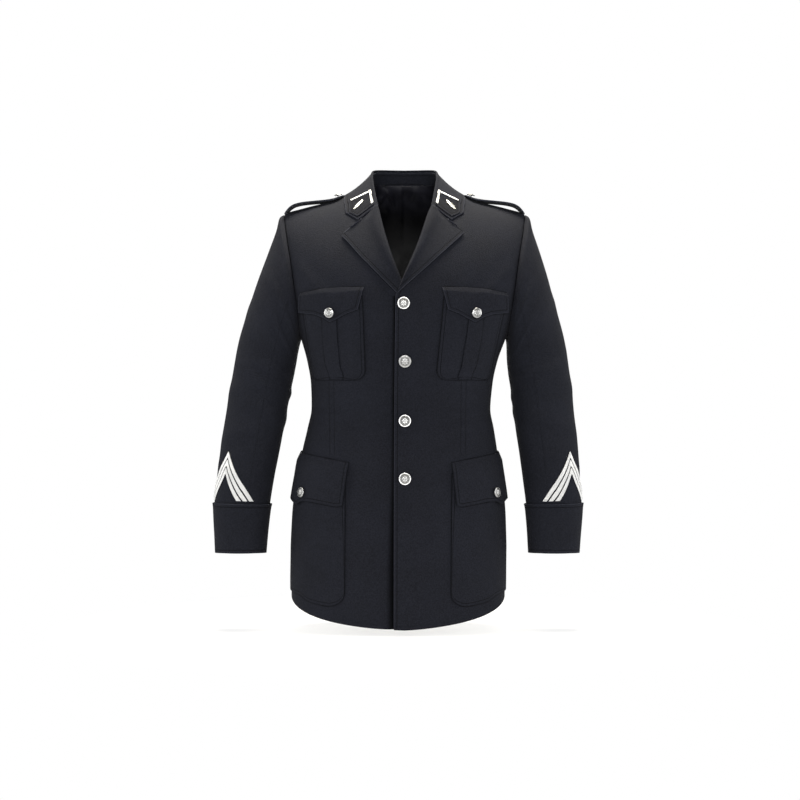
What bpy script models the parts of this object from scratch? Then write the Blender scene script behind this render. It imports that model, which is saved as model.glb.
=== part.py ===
"""Police uniform tunic, filled out as it is worn, with nobody in it.

The frame: +Z is up, the front of the tunic faces -Y and the wearer's left is +X. The origin is
at the base of the neck. Everything is in metres. Each cut piece of cloth is a closed sheet of
its own, and neighbours stand 0.3 mm apart where they are sewn together.
"""
import math

import bpy
import bmesh
import numpy as np
from mathutils import Vector
from mathutils.bvhtree import BVHTree

# Driving dimensions
CLOTH = 0.0020            # body cloth with its backing
TRIM_CLOTH = 0.0016       # pocket and flap cloth
LINING = 0.0011
SEAM = 0.0003             # between neighbouring pieces
LAID_ON = 0.0011          # between a panel and what is sewn on it
SECTION_POWER = 2.4       # how square the trunk is in plan
RIDGE_Y = 0.0120          # the shoulder seam
FRONT_OVER = -0.0165      # the upper front's edge, past the middle
FRONT_UNDER = -0.0180     # the lower front's edge, past the middle on its own side
UNDER_SINK = 0.0059       # how far the lower front lies inside the upper one
PANEL_TOP = -0.2350       # where the front and back stop being a full tube
UNDERARM = -0.2550
SIDE_SEAM = 112.0         # degrees from the middle of the front
BACK_HEM = -0.7320
SIDE_HEM = -0.7207
HEM_DROP = 0.0545         # the front hem hangs this much lower than the side
HEM_SLACK = 0.0022        # how much flatter than an ellipse the front hem runs
CUFF_RISE = 0.0020        # how much higher the cuff's lower edge is at its front
FRONT_BUTTON = 0.0220     # diameters
CHEST_BUTTON = 0.0180
HIP_BUTTON = 0.0180
STRAP_BUTTON = 0.0155
BUTTON_PLACES = ((-0.0018, -0.1994), (0.0005, -0.3009), (0.0005, -0.4065), (0.0005, -0.5084))

# Sections of the trunk
TRUNK = (
    # height, half width, front depth, back depth, sideways drift
    (-0.8000, 0.1940, 0.1180, 0.1220, -0.0120),
    (-0.7000, 0.1935, 0.1180, 0.1250, -0.0115),
    (-0.5800, 0.1905, 0.1175, 0.1250, -0.0105),
    (-0.5000, 0.1830, 0.1150, 0.1200, -0.0095),
    (-0.4600, 0.1770, 0.1120, 0.1130, -0.0085),
    (-0.4200, 0.1690, 0.1080, 0.1050, -0.0070),
    (-0.3850, 0.1625, 0.1065, 0.1010, -0.0065),
    (-0.3400, 0.1650, 0.1100, 0.1030, -0.0050),
    (-0.3000, 0.1725, 0.1170, 0.1090, -0.0040),
    (-0.2550, 0.1870, 0.1235, 0.1160, -0.0020),
    (-0.2000, 0.2060, 0.1260, 0.1200, 0.0),
    (-0.1500, 0.2180, 0.1260, 0.1210, 0.0),
    (-0.1000, 0.2260, 0.1250, 0.1210, 0.0),
    (-0.0500, 0.2310, 0.1240, 0.1200, 0.0),
    (0.0600, 0.2330, 0.1240, 0.1180, 0.0),
)
SHOULDER = (
    # distance from the middle, height of the shoulder line
    (0.0000, 0.0360), (0.0450, 0.0270), (0.0730, 0.0115), (0.0919, 0.0036), (0.1100, 0.0002),
    (0.1243, -0.0048), (0.1380, -0.0087), (0.1614, -0.0138), (0.1890, -0.0209),
    (0.2106, -0.0268), (0.2190, -0.0310), (0.2400, -0.0400),
)
BACK_TOP = (
    # distance from the middle, height that the back's curve aims for
    (0.0000, 0.0500), (0.0250, 0.0460), (0.0500, 0.0340), (0.0730, 0.0115), (0.0919, 0.0036),
    (0.1100, 0.0002), (0.1243, -0.0048), (0.1380, -0.0087), (0.1614, -0.0138),
    (0.1890, -0.0209), (0.2106, -0.0268), (0.2190, -0.0310), (0.2400, -0.0400),
)
ARMHOLE_FRONT = (
    # height, distance from the middle
    (-0.2350, 0.1895), (-0.2070, 0.1920), (-0.1850, 0.1950), (-0.1570, 0.1990),
    (-0.1174, 0.2045), (-0.0980, 0.2080), (-0.0673, 0.2135), (-0.0500, 0.2160),
    (-0.0310, 0.2190),
)
ARMHOLE_BACK = (
    (-0.2350, 0.1817), (-0.2000, 0.1865), (-0.1500, 0.1950), (-0.1000, 0.2030),
    (-0.0500, 0.2140), (-0.0310, 0.2190),
)
NECK_FRONT = ((-0.0210, 0.0480), (-0.0090, 0.0560), (0.0010, 0.0640), (0.0070, 0.0700), (0.0115, 0.0730))
NECK_BACK = ((0.0000, 0.0247), (0.0330, 0.0225), (0.0560, 0.0165), (0.0730, 0.0115))
ROLL = {
    # height, distance from the middle: from the lowest turn of the lapel to the gorge
    "left": ((-0.1865, -0.0160), (-0.1600, -0.0050), (-0.0889, 0.0253), (-0.0443, 0.0400), (-0.0210, 0.0480)),
    "right": ((-0.2150, -0.0175), (-0.1600, 0.0055), (-0.0925, 0.0304), (-0.0449, 0.0430), (-0.0210, 0.0480)),
}
LAPEL_EDGE = {
    # share of the roll line, distance from the middle, height of the lapel's outer edge
    "left": ((0.00, -0.0160, -0.1858), (0.05, -0.0105, -0.1790), (0.18, 0.0034, -0.1665),
             (0.40, 0.0336, -0.1405), (0.62, 0.0640, -0.1120), (0.86, 0.0975, -0.0815),
             (0.91, 0.1055, -0.0735), (1.00, 0.0830, -0.0536)),
    "right": ((0.00, -0.0175, -0.2140), (0.05, -0.0120, -0.2065), (0.18, 0.0060, -0.1885),
              (0.40, 0.0400, -0.1555), (0.62, 0.0759, -0.1186), (0.86, 0.1030, -0.0880),
              (0.91, 0.1121, -0.0783), (1.00, 0.0840, -0.0543)),
}
COLLAR_ROLL = (
    # share from the middle of the back to the gorge, and the place of the fold
    (0.00, 0.0000, 0.0660, 0.0547), (0.25, 0.0300, 0.0600, 0.0545), (0.45, 0.0500, 0.0420, 0.0525),
    (0.60, 0.0580, 0.0200, 0.0480), (0.72, 0.0592, -0.0010, 0.0385), (0.82, 0.0575, -0.0200, 0.0230),
    (0.91, 0.0530, -0.0415, 0.0010), (1.00, 0.0480, -0.0640, -0.0210),
)
COLLAR_SEAM = (
    # the same shares, distance from the middle and height on the neck seam
    (0.00, 0.0000, 0.0247), (0.25, 0.0330, 0.0225), (0.45, 0.0560, 0.0165), (0.60, 0.0730, 0.0115),
    (0.72, 0.0700, 0.0070), (0.82, 0.0640, 0.0010), (0.91, 0.0560, -0.0090), (1.00, 0.0480, -0.0210),
)
COLLAR_EDGE = (
    # the same shares, the place of the collar's outer edge
    (0.00, 0.0000, 0.0950, -0.0040), (0.25, 0.0400, 0.0905, -0.0040), (0.45, 0.0800, 0.0600, -0.0015),
    (0.60, 0.1065, 0.0120, 0.0055), (0.72, 0.1095, -0.0080, -0.0020), (0.82, 0.1085, -0.0290, -0.0140),
    (0.91, 0.1060, -0.0430, -0.0245), (1.00, 0.1055, -0.0545, -0.0345),
)
NOTCH = (0.0830, -0.0500)
COLLAR_NOTCH_AT = 0.60
COLLAR_GAP = 0.0010        # between the collar and its patch
LEAF = (0.0135, 0.0036)    # half length and half width
LEAF_GAP = 0.0008
STRIPE_GAP = 0.0006        # between the sleeve and its braid
SLEEVE = (
    # outer x, z, inner x, z, half depth, middle y, share of the armhole's own curve
    (0.2190, -0.0310, 0.1870, -0.2550, 0.0600, 0.0020, 1.00),
    (0.2282, -0.0395, 0.1885, -0.2590, 0.0660, 0.0020, 0.80),
    (0.2333, -0.0600, 0.1900, -0.2650, 0.0690, 0.0020, 0.60),
    (0.2475, -0.1000, 0.1920, -0.2740, 0.0700, 0.0030, 0.35),
    (0.2660, -0.1500, 0.1945, -0.2870, 0.0690, 0.0040, 0.15),
    (0.2830, -0.2000, 0.1975, -0.3050, 0.0680, 0.0050, 0.05),
    (0.3010, -0.2600, 0.2020, -0.3280, 0.0665, 0.0050, 0.00),
    (0.3115, -0.3150, 0.2075, -0.3580, 0.0640, 0.0030, 0.00),
    (0.3223, -0.3800, 0.2160, -0.4050, 0.0615, -0.0010, 0.00),
    (0.3330, -0.4500, 0.2270, -0.4620, 0.0570, -0.0070, 0.00),
    (0.3387, -0.5000, 0.2355, -0.5060, 0.0530, -0.0120, 0.00),
    (0.3438, -0.5500, 0.2428, -0.5520, 0.0490, -0.0170, 0.00),
    (0.3420, -0.6000, 0.2488, -0.6005, 0.0462, -0.0200, 0.00),
    (0.3396, -0.6440, 0.2526, -0.6440, 0.0445, -0.0220, 0.00),
)
SLEEVE_LEAN = (
    # height, how far the wearer's left sleeve hangs nearer the middle than the right one
    (-0.6450, -0.0262), (-0.5750, -0.0240), (-0.5200, -0.0225), (-0.4600, -0.0190), (-0.4000, -0.0165),
    (-0.3400, -0.0125), (-0.2800, -0.0105), (-0.2200, -0.0090), (-0.1650, -0.0070), (-0.1000, -0.0030),
    (-0.0300, 0.0),
)
CHEST_FLAP_TOP = (
    # along the body from the middle of the front, height
    (0.0715, -0.1710), (0.1060, -0.1710), (0.1420, -0.1727), (0.1960, -0.1790))
CHEST_FLAP_EDGE = (
    (0.0820, -0.2100), (0.1030, -0.2176), (0.1190, -0.2260), (0.1320, -0.2316),
    (0.1470, -0.2225), (0.1630, -0.2170), (0.2030, -0.2122))
CHEST_POCKET = (-0.3335, -0.1880)                 # foot, and top under the flap
CHEST_CORNER = 0.018
CHEST_PLEAT = (
    # height, the pleat's middle along the body, half width
    (-0.3285, 0.1180, 0.0128), (-0.3200, 0.1205, 0.0130), (-0.3130, 0.1240, 0.0134),
    (-0.2985, 0.1276, 0.0143), (-0.2845, 0.1293, 0.0145), (-0.2600, 0.1322, 0.0143),
    (-0.2385, 0.1336, 0.0140), (-0.1900, 0.1350, 0.0132))
CHEST_SHIFT = {"left": -0.0060, "right": 0.0}     # towards the middle of the front
HIP_SHIFT = {"left": -0.0022, "right": 0.0022}
HIP_CORNER = (0.17, 0.027)                        # share of the pocket's width, height
HIP_FLAP_TOP = ((0.0910, -0.4805), (0.1680, -0.4685), (0.2390, -0.4625), (0.2930, -0.4610))
HIP_FLAP_EDGE = (
    (0.1005, -0.5560), (0.1100, -0.5585), (0.1580, -0.5510), (0.1800, -0.5505),
    (0.1970, -0.5580), (0.2140, -0.5480), (0.2400, -0.5425), (0.2850, -0.5405), (0.2950, -0.5380))
HIP_POCKET_FOOT = (
    (0.0900, -0.7380), (0.1325, -0.7335), (0.1640, -0.7280), (0.1900, -0.7175),
    (0.2400, -0.7125), (0.3000, -0.7090))
STRAP = (
    # distance from the middle, height of the top face, half width, drop to its long edges
    (0.1085, 0.0045, 0.0030, 0.0002), (0.1120, 0.0043, 0.0130, 0.0012), (0.1190, 0.0022, 0.0200, 0.0028),
    (0.1290, -0.0012, 0.0222, 0.0032), (0.1450, -0.0040, 0.0224, 0.0026), (0.1614, -0.0058, 0.0226, 0.0020),
    (0.1847, -0.0085, 0.0228, 0.0016), (0.1986, -0.0116, 0.0229, 0.0016), (0.2078, -0.0162, 0.0230, 0.0020),
    (0.2160, -0.0245, 0.0230, 0.0030), (0.2185, -0.0285, 0.0230, 0.0034),
)
STRIPE_APEX = -0.4619      # the top stripe's point
STRIPE_HEIGHT = 0.0108
STRIPE_STEP = 0.0146       # from one stripe down to the next
STRIPE_AXIS = 0.144        # where the points lie round the sleeve
STRIPE_SPREAD = 0.178
STRIPE_FALL = 0.0895
STRIPE_BEND = 0.82
CUFF_TOP = -0.5510

collection = bpy.data.collections.new("police_uniform_tunic")


def clear_scene():
    for item in list(bpy.data.objects):
        bpy.data.objects.remove(item)


def material(name, colour, roughness, metallic=0.0):
    mat = bpy.data.materials.new(name)
    mat.use_nodes = True
    shader = next(n for n in mat.node_tree.nodes if n.type == "BSDF_PRINCIPLED")
    shader.inputs["Base Color"].default_value = (*colour, 1.0)
    shader.inputs["Roughness"].default_value = roughness
    shader.inputs["Metallic"].default_value = metallic
    mat.diffuse_color = (*colour, 1.0)
    return mat


FABRIC = dict(colour=(0.018, 0.019, 0.027), roughness=0.9)
SATIN = dict(colour=(0.010, 0.010, 0.016), roughness=0.45)
SILVER = dict(colour=(0.62, 0.62, 0.60), roughness=0.28, metallic=1.0)
BRAID = dict(colour=(0.80, 0.80, 0.78), roughness=0.8)
PATCH = dict(colour=(0.012, 0.012, 0.017), roughness=0.95)


# Curves and surfaces
def smooth(table, t):
    """A smooth curve through the rows of a table, by its first column."""
    table = np.asarray(table, float)
    keys = table[:, 0]
    t = min(max(t, keys[0]), keys[-1])
    i = int(min(max(np.searchsorted(keys, t) - 1, 0), len(keys) - 2))
    slopes = np.diff(table[:, 1:], axis=0) / np.diff(keys)[:, None]

    def tangent(j):
        if j == 0:
            return slopes[0]
        if j == len(keys) - 1:
            return slopes[-1]
        a, b = slopes[j - 1], slopes[j]
        total = np.where(a + b == 0, 1.0, a + b)
        return np.where(a * b > 0, 2 * a * b / total, 0.0)

    h = keys[i + 1] - keys[i]
    f = (t - keys[i]) / h
    p, q = table[i, 1:], table[i + 1, 1:]
    return ((2 * f**3 - 3 * f**2 + 1) * p + (f**3 - 2 * f**2 + f) * h * tangent(i)
            + (3 * f**2 - 2 * f**3) * q + (f**3 - f**2) * h * tangent(i + 1))


def straight(table, t):
    """The straight-edged line through the rows of a table, by its first column."""
    table = np.asarray(table, float)
    return np.array([np.interp(t, table[:, 0], table[:, k]) for k in range(1, table.shape[1])])


def front_y(x, z):
    half, front, _, _ = smooth(TRUNK, z)
    e = max(0.0, 1 - abs(x / half)**SECTION_POWER)**(1 / SECTION_POWER)
    top = smooth(SHOULDER, abs(x))[0]
    s = min(max((z + 0.20) / (top + 0.20), 0.0), 1.0)
    return RIDGE_Y - 0.0002 - (RIDGE_Y + front * e) * (1 - s**2)**(1 / 1.6)


def back_y(x, z):
    half, _, back, _ = smooth(TRUNK, z)
    e = max(0.0, 1 - abs(x / half)**SECTION_POWER)**(1 / SECTION_POWER)
    top = smooth(BACK_TOP, abs(x))[0]
    s = min(max((z + 0.14) / (top + 0.14), 0.0), 1.0)
    return RIDGE_Y + 0.0002 + (back * e - RIDGE_Y) * (1 - s**2.4)**0.5


def drifted(x, z):
    half, _, _, drift = smooth(TRUNK, z)
    return x + drift * (1 - (1 - min(1.0, abs(x / half)))**3)


def trunk(side, angle, z):
    """The outer face of the trunk below the armholes, by the angle from the middle front."""
    half, front, back, _ = smooth(TRUNK, z)
    a = math.radians(angle)
    c = math.cos(a)
    e = abs(c)**(2 / SECTION_POWER)
    x = half * math.copysign(abs(math.sin(a))**(2 / SECTION_POWER), math.sin(a))
    y = -front * e if c > 0 else back * e
    return np.array([drifted(side * x, z), y, z])


def angle_of(x, z):
    """The angle from the middle front at which the trunk has this distance from the middle."""
    half = smooth(TRUNK, z)[0]
    share = min(1.0, abs(x) / half)
    return math.copysign(math.degrees(math.asin(share**(SECTION_POWER / 2))), x)


def front_face(side, x, z):
    return np.array([drifted(side * x, z), front_y(x, z), z])


def back_face(side, x, z):
    return np.array([drifted(side * x, z), back_y(x, z), z])


GIRTHS = {}


def by_girth(side, girth, z):
    """The trunk by the length along the body from the middle of the front."""
    key = round(z, 6)
    if key not in GIRTHS:
        angles = np.linspace(0, 150, 101)
        half, front, back, _ = smooth(TRUNK, z)
        e = np.abs(np.cos(np.radians(angles)))**(2 / SECTION_POWER)
        x = half * np.sin(np.radians(angles))**(2 / SECTION_POWER)
        y = np.where(angles < 90, -front * e, back * e)
        run = np.concatenate([[0], np.cumsum(np.hypot(np.diff(x), np.diff(y)))])
        GIRTHS[key] = (angles, run)
    angles, run = GIRTHS[key]
    point = trunk(side, float(np.interp(girth, run, angles)), z)
    if z > -0.20 and point[1] < 0:
        point = front_face(side, abs(half_x(side, point, z)), z)
    return point


def half_x(side, point, z):
    """The distance from the middle before the drift."""
    x = side * point[0]
    for _ in range(6):
        x = side * point[0] - side * (drifted(side * x, z) - side * x)
    return x


def normal_of(face, u, v, outward, step=2e-4):
    """The unit normal of a surface at u, v, on the side that outward points to."""
    low_u, high_u = max(u - step, 0.0), min(u + step, 1.0)
    low_v, high_v = max(v - step, 0.0), min(v + step, 1.0)
    along = face(high_u, v) - face(low_u, v)
    up = face(u, high_v) - face(u, low_v)
    n = np.cross(along, up)
    length = np.linalg.norm(n)
    if length < 1e-14:
        return outward / np.linalg.norm(outward)
    n /= length
    return n if n @ outward > 0 else -n


# Building
def sheet(name, face, across, along, thick, mat, outward, lift=0.0, keep=None):
    """A closed sheet: face(u, v) is its surface, raised by lift, and its cloth goes inwards.

    across and along are the shares u and v of the grid's lines. outward gives the way out at
    a point. keep says which cells of the grid stay."""
    bm = bmesh.new()
    nu, nv = len(across), len(along)
    bmesh.ops.create_grid(bm, x_segments=nu - 1, y_segments=nv - 1, size=1.0)
    spots = {}
    for vert in bm.verts:
        i = int(round((vert.co.x + 1) / 2 * (nu - 1)))
        j = int(round((vert.co.y + 1) / 2 * (nv - 1)))
        spots[vert.index] = (i, j)
    bm.verts.index_update()
    if keep is not None:
        gone = []
        for cell in bm.faces:
            i = min(spots[v.index][0] for v in cell.verts)
            j = min(spots[v.index][1] for v in cell.verts)
            if not keep(i, j):
                gone.append(cell)
        bmesh.ops.delete(bm, geom=gone, context="FACES")
    places = {}
    for vert in bm.verts:
        i = int(round((vert.co.x + 1) / 2 * (nu - 1)))
        j = int(round((vert.co.y + 1) / 2 * (nv - 1)))
        places[vert] = (across[i], along[j])
    depths = []
    for vert, (u, v) in places.items():
        point = face(u, v)
        n = normal_of(face, u, v, outward(point))
        rise = lift(u, v) if callable(lift) else lift
        vert.co = Vector(point + n * rise)
        depths.append(thick(u, v) if callable(thick) else thick)
    bm.normal_update()
    ways = sum(cell.normal.dot(Vector(outward(np.array(cell.calc_center_median())))) for cell in bm.faces)
    if ways < 0:
        bmesh.ops.reverse_faces(bm, faces=list(bm.faces))
    body = finish(name, bm, mat)
    cloth = body.modifiers.new("cloth", "SOLIDIFY")
    cloth.thickness = max(depths)
    cloth.offset = -1.0
    if min(depths) < max(depths):
        group = body.vertex_groups.new(name="thickness")
        for index, depth in enumerate(depths):
            group.add([index], depth / max(depths), "REPLACE")
        cloth.vertex_group = "thickness"
    return body


def finish(name, bm, mat):
    mesh = bpy.data.meshes.new(name)
    bm.to_mesh(mesh)
    bm.free()
    mesh.shade_smooth()
    mesh.set_sharp_from_angle(angle=math.radians(60))
    body = bpy.data.objects.new(name, mesh)
    collection.objects.link(body)
    body.data.materials.append(material(name + "_material", **mat))
    return body


def even(count, low=0.0, high=1.0):
    return [low + (high - low) * k / (count - 1) for k in range(count)]


def from_middle(point):
    return np.array([point[0], point[1], 0.0])


def from_chest(point):
    """The way out of the trunk, up at the shoulders."""
    return np.array([point[0] * 0.3, point[1] - RIDGE_Y, 0.06 if point[2] > -0.1 else 0.0])


# Fronts and backs
def hem_z(angle):
    c = math.cos(math.radians(angle))
    share = abs(math.sin(math.radians(angle)))**(2 / SECTION_POWER)
    if c > 0:
        curve = math.sqrt(max(0.0, 1 - share * share))
        return SIDE_HEM - HEM_DROP * curve + HEM_SLACK * math.sin(math.pi * share)
    return SIDE_HEM + (BACK_HEM - SIDE_HEM) * abs(c)


def front_inner(name, z):
    """The front's inner edge: its straight edge, then the roll line, then the neck seam."""
    roll = ROLL[name]
    edge = FRONT_OVER if name == "left" else FRONT_UNDER
    if z <= roll[0][0]:
        return edge
    if z <= roll[-1][0]:
        return float(smooth(roll, z)[0])
    return float(smooth(NECK_FRONT, z)[0])


def sink(name, x, z):
    """The lower front lies inside the upper one near the middle."""
    if name == "left":
        return 0.0
    near = min(max((0.062 - x) / 0.044, 0.0), 1.0)
    low = min(max((-0.100 - z) / 0.055, 0.0), 1.0)
    return UNDER_SINK * near * near * (3 - 2 * near) * low


LOWER_COLUMNS, ARM_COLUMN = 13, 8
LOWER_ROWS, UPPER_ROWS = 13, 8


def front_panel(name, side):
    arm_angle = angle_of(smooth(ARMHOLE_FRONT, PANEL_TOP)[0], PANEL_TOP)
    edge = FRONT_OVER if name == "left" else FRONT_UNDER
    edge_share = edge / smooth(TRUNK, PANEL_TOP)[0]
    arm_share = smooth(ARMHOLE_FRONT, PANEL_TOP)[0] / smooth(TRUNK, PANEL_TOP)[0]

    def lower(u, v):
        """u counts from 0 to 1 at the armhole and to 2 at the side seam."""
        if u <= 1.0:
            share = edge_share + (arm_share - edge_share) * u
            top = PANEL_TOP
        else:
            angle = arm_angle + (SIDE_SEAM - arm_angle) * (u - 1.0)
            bend = math.sin(math.pi * (u - 1.0))
            top = PANEL_TOP + (UNDERARM - PANEL_TOP) * bend**0.7
        if u <= 1.0:
            flat = math.copysign(abs(share)**(SECTION_POWER / 2), share)
            z = hem_z(math.degrees(math.asin(flat)))
            z = z + (top - z) * v
            half = smooth(TRUNK, z)[0]
            x = half * share + (edge - half * edge_share) * (1 - u)
            return front_face(side, x, z)
        z = hem_z(angle)
        z = z + (top - z) * v
        return trunk(side, angle, z)

    def upper(u, v):
        w = 1 - (1 - v)**2
        z_in = PANEL_TOP + w * (0.0115 - PANEL_TOP)
        z_out = PANEL_TOP + w * (-0.0310 - PANEL_TOP)
        x_in = front_inner(name, z_in)
        x_out = float(smooth(ARMHOLE_FRONT, z_out)[0])
        x = x_in + (x_out - x_in) * u
        x_top = 0.0730 + (0.2190 - 0.0730) * u
        z = PANEL_TOP + w * (float(smooth(SHOULDER, x_top)[0]) - PANEL_TOP)
        return front_face(side, x, z)

    def face(u, v):
        """Both blocks as one surface: u to 2 across, v to 1 at the tube's top and on to 2."""
        u, v = u * 2.0, v * 2.0
        return lower(u, v) if v <= 1.0 or u > 1.0 else upper(u, v - 1.0)

    across = [k / (ARM_COLUMN) * 0.5 for k in range(ARM_COLUMN + 1)]
    across += [0.5 + 0.5 * k / (LOWER_COLUMNS - ARM_COLUMN) for k in range(1, LOWER_COLUMNS - ARM_COLUMN + 1)]
    along = [0.5 * k / LOWER_ROWS for k in range(LOWER_ROWS + 1)]
    along += [0.5 + 0.5 * k / UPPER_ROWS for k in range(1, UPPER_ROWS)] + [0.99, 1.0]

    def lift(u, v):
        point = face(u, v)
        return -sink(name, side * point[0], point[2])

    return sheet("front_" + name, face, across, along, CLOTH, FABRIC, from_chest, lift,
                 keep=lambda i, j: not (i >= ARM_COLUMN and j >= LOWER_ROWS))


def back_panel(name, side):
    edge = SEAM * 0.75

    def face(u, v):
        v = v * 2.0
        top_x = 0.219 * u
        if v <= 1.0:
            angle = 180.0 - (180.0 - SIDE_SEAM - 0.34) * u**0.9
            z = hem_z(angle) + (PANEL_TOP - hem_z(angle)) * v
            point = trunk(side, angle, z)
            if u == 0.0:
                point[0] = 0.0
            point[0] += side * edge * (1 - u)
            return point
        w = 1 - (2.0 - v)**2
        angle = 180.0 - (180.0 - SIDE_SEAM - 0.34) * u**0.9
        low_share = abs(math.sin(math.radians(angle)))**(2 / SECTION_POWER)
        low_x = smooth(TRUNK, PANEL_TOP)[0] * low_share
        seam_share = abs(math.sin(math.radians(SIDE_SEAM + 0.34)))**(2 / SECTION_POWER)
        last_low = smooth(TRUNK, PANEL_TOP)[0] * seam_share
        z_out = PANEL_TOP + w * (-0.0310 - PANEL_TOP)
        x_out = float(smooth(ARMHOLE_BACK, z_out)[0]) * last_low / 0.1817
        x_out = x_out + (0.2190 - float(smooth(ARMHOLE_BACK, -0.0310)[0]) * last_low / 0.1817) * w
        share = low_x / last_low + (top_x / 0.219 - low_x / last_low) * w
        x = x_out * share
        neck = float(smooth(NECK_BACK, top_x)[0]) if top_x < 0.073 else float(smooth(SHOULDER, top_x)[0])
        z = PANEL_TOP + w * (neck - PANEL_TOP)
        point = back_face(side, x, z)
        point[0] += side * edge * (1 - u)
        return point

    across = [0.0, 0.12, 0.23, 1 / 3, 0.47, 0.61, 0.74, 0.87, 1.0]
    along = [0.5 * k / 12 for k in range(13)] + [0.5 + 0.5 * k / 8 for k in range(1, 8)] + [0.99, 1.0]
    return sheet("back_" + name, face, across, along, CLOTH, FABRIC, from_chest)


def back_lining():
    """Lines the upper half of the back, with a pleat of ease down its middle."""
    def face(u, v):
        x = -0.150 + 0.300 * u
        top = float(smooth(NECK_BACK, abs(x))[0]) if abs(x) < 0.073 else float(smooth(SHOULDER, abs(x))[0])
        top -= 0.0035 + 0.016 * min(1.0, max(0.0, abs(x) - 0.042) / 0.03)
        w = 1 - (1 - v)**1.6
        z = -0.300 + w * (top + 0.300)
        return back_face(1.0, x, z)

    def lift(u, v):
        x = -0.150 + 0.300 * u
        pleat = 0.0016 * math.exp(-(x / 0.010)**2)
        return -CLOTH - 0.0024 - 0.0006 * min(1.0, (1 - v) * 4.0) - pleat

    across = [0.0, 0.12, 0.24, 0.35, 0.43, 0.475, 0.5, 0.525, 0.57, 0.65, 0.76, 0.88, 1.0]
    return sheet("back_lining", face, across, even(13), LINING, SATIN, from_chest, lift)


# Lapels and collar
LAPEL_START = 0.04
LAPEL_ROWS = (LAPEL_START, 0.08, 0.12, 0.18, 0.29, 0.40, 0.51, 0.62, 0.74, 0.86, 0.91, 0.96, 1.0)


def lapel(name, side):
    def face(u, v):
        v = LAPEL_START + (1 - LAPEL_START) * v
        low, high = ROLL[name][0][0], ROLL[name][-1][0]
        z0 = low + (high - low) * v
        x0 = front_inner(name, z0)
        x1, z1 = straight(LAPEL_EDGE[name], v)
        x = x0 + (x1 - x0) * u
        z = z0 + (z1 - z0) * u - 0.0230 * max(0.0, v - 0.9)
        return front_face(side, x, z)

    def lift(u, v):
        v = LAPEL_START + (1 - LAPEL_START) * v
        puff = 0.0034 * math.exp(-((u - 0.10) / 0.16)**2) * min(1.0, v * 3.0)
        start = min(1.0, u / 0.04)
        point = face(u, (v - LAPEL_START) / (1 - LAPEL_START))
        if name == "right":
            puff *= min(1.0, max(0.0, (v - 0.25) / 0.25))
        return CLOTH + 0.0006 + puff * start - sink(name, side * point[0], point[2])

    across = [0.0, 0.05, 0.14, 0.28, 0.45, 0.63, 0.82, 1.0]
    along = [(v - LAPEL_START) / (1 - LAPEL_START) for v in LAPEL_ROWS]
    return sheet("lapel_" + name, face, across, along, CLOTH, FABRIC, from_chest, lift)


def seam_point(side, u):
    x, z = smooth(COLLAR_SEAM, u)
    return back_face(side, x, z) if u < 0.6 else front_face(side, x, z)


def collar_stand():
    def face(u, v):
        t = abs(u * 2 - 1) * 0.89
        side = 1.0 if u >= 0.5 else -1.0
        low = seam_point(side, t)
        high = smooth(COLLAR_ROLL, t) * np.array([side, 1.0, 1.0])
        low = low + np.array([0, 0, 0.0010])
        high = high + np.array([0, 0, -0.0032])
        return low + (high - low) * v

    def away(point):
        return np.array([point[0], point[1] - 0.005, 0.0])

    return sheet("collar_stand", face, even(25), [0.0, 0.5, 1.0], CLOTH, FABRIC, away)


def trunk_tree():
    """The outer faces of the fronts and backs, as a tree for nearest points."""
    points, faces = [], []
    for is_front in (True, False):
        for side in (1.0, -1.0):
            base = len(points)
            rows, columns = 44, 44
            for j in range(rows):
                for i in range(columns):
                    x = 0.232 * i / (columns - 1)
                    top = float(smooth(SHOULDER if is_front else BACK_TOP, x)[0])
                    z = -0.26 + (top + 0.26) * (1 - (1 - j / (rows - 1))**2)
                    point = front_face(side, x, z) if is_front else back_face(side, x, z)
                    points.append(Vector(point))
            for j in range(rows - 1):
                for i in range(columns - 1):
                    a = base + j * columns + i
                    quad = (a, a + 1, a + columns + 1, a + columns)
                    flip = (side > 0) != is_front
                    faces.append(quad[::-1] if flip else quad)
    return BVHTree.FromPolygons(points, faces)


TREE = None


def clear_of_trunk(point, gap):
    """Moves a point out until it is at least gap off the trunk's outer face."""
    place, n, _, _ = TREE.find_nearest(Vector(point))
    place, n = np.array(place), np.array(n)
    if n @ from_chest(place) < 0:
        n = -n
    away = (point - place) @ n
    if away < gap:
        return place + n * gap
    return point


def fall_point(side, t, v):
    """The collar's outer face, from the fold (v 0) to its edge (v 1)."""
    roll = smooth(COLLAR_ROLL, t) * np.array([side, 1.0, 1.0])
    edge = smooth(COLLAR_EDGE, t) * np.array([side, 1.0, 1.0])
    out = np.array([roll[0], roll[1] - 0.005, 0.0])
    out /= np.linalg.norm(out)
    up = np.array([0.0, 0.0, 1.0])
    height = min(1.0, (1.05 - t) / 0.20)
    top = roll + up * 0.0004 + out * 0.0014
    start = roll - out * 0.0018 * height + up * 0.0002
    side_of_fold = roll + (out * 0.0036 - up * 0.0035) * height
    if v < 0.10:
        return start + (top - start) * (v / 0.10)
    if v < 0.20:
        return top + (side_of_fold - top) * ((v - 0.10) / 0.10)
    f = (v - 0.20) / 0.80
    hollow = math.exp(-((t - 0.60) / 0.17)**2)
    middle = (side_of_fold + edge) / 2 - up * (0.0025 + 0.0030 * hollow) - out * 0.0015 * hollow
    a = side_of_fold + (middle - side_of_fold) * f
    b = middle + (edge - middle) * f
    return a + (b - a) * f


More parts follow.
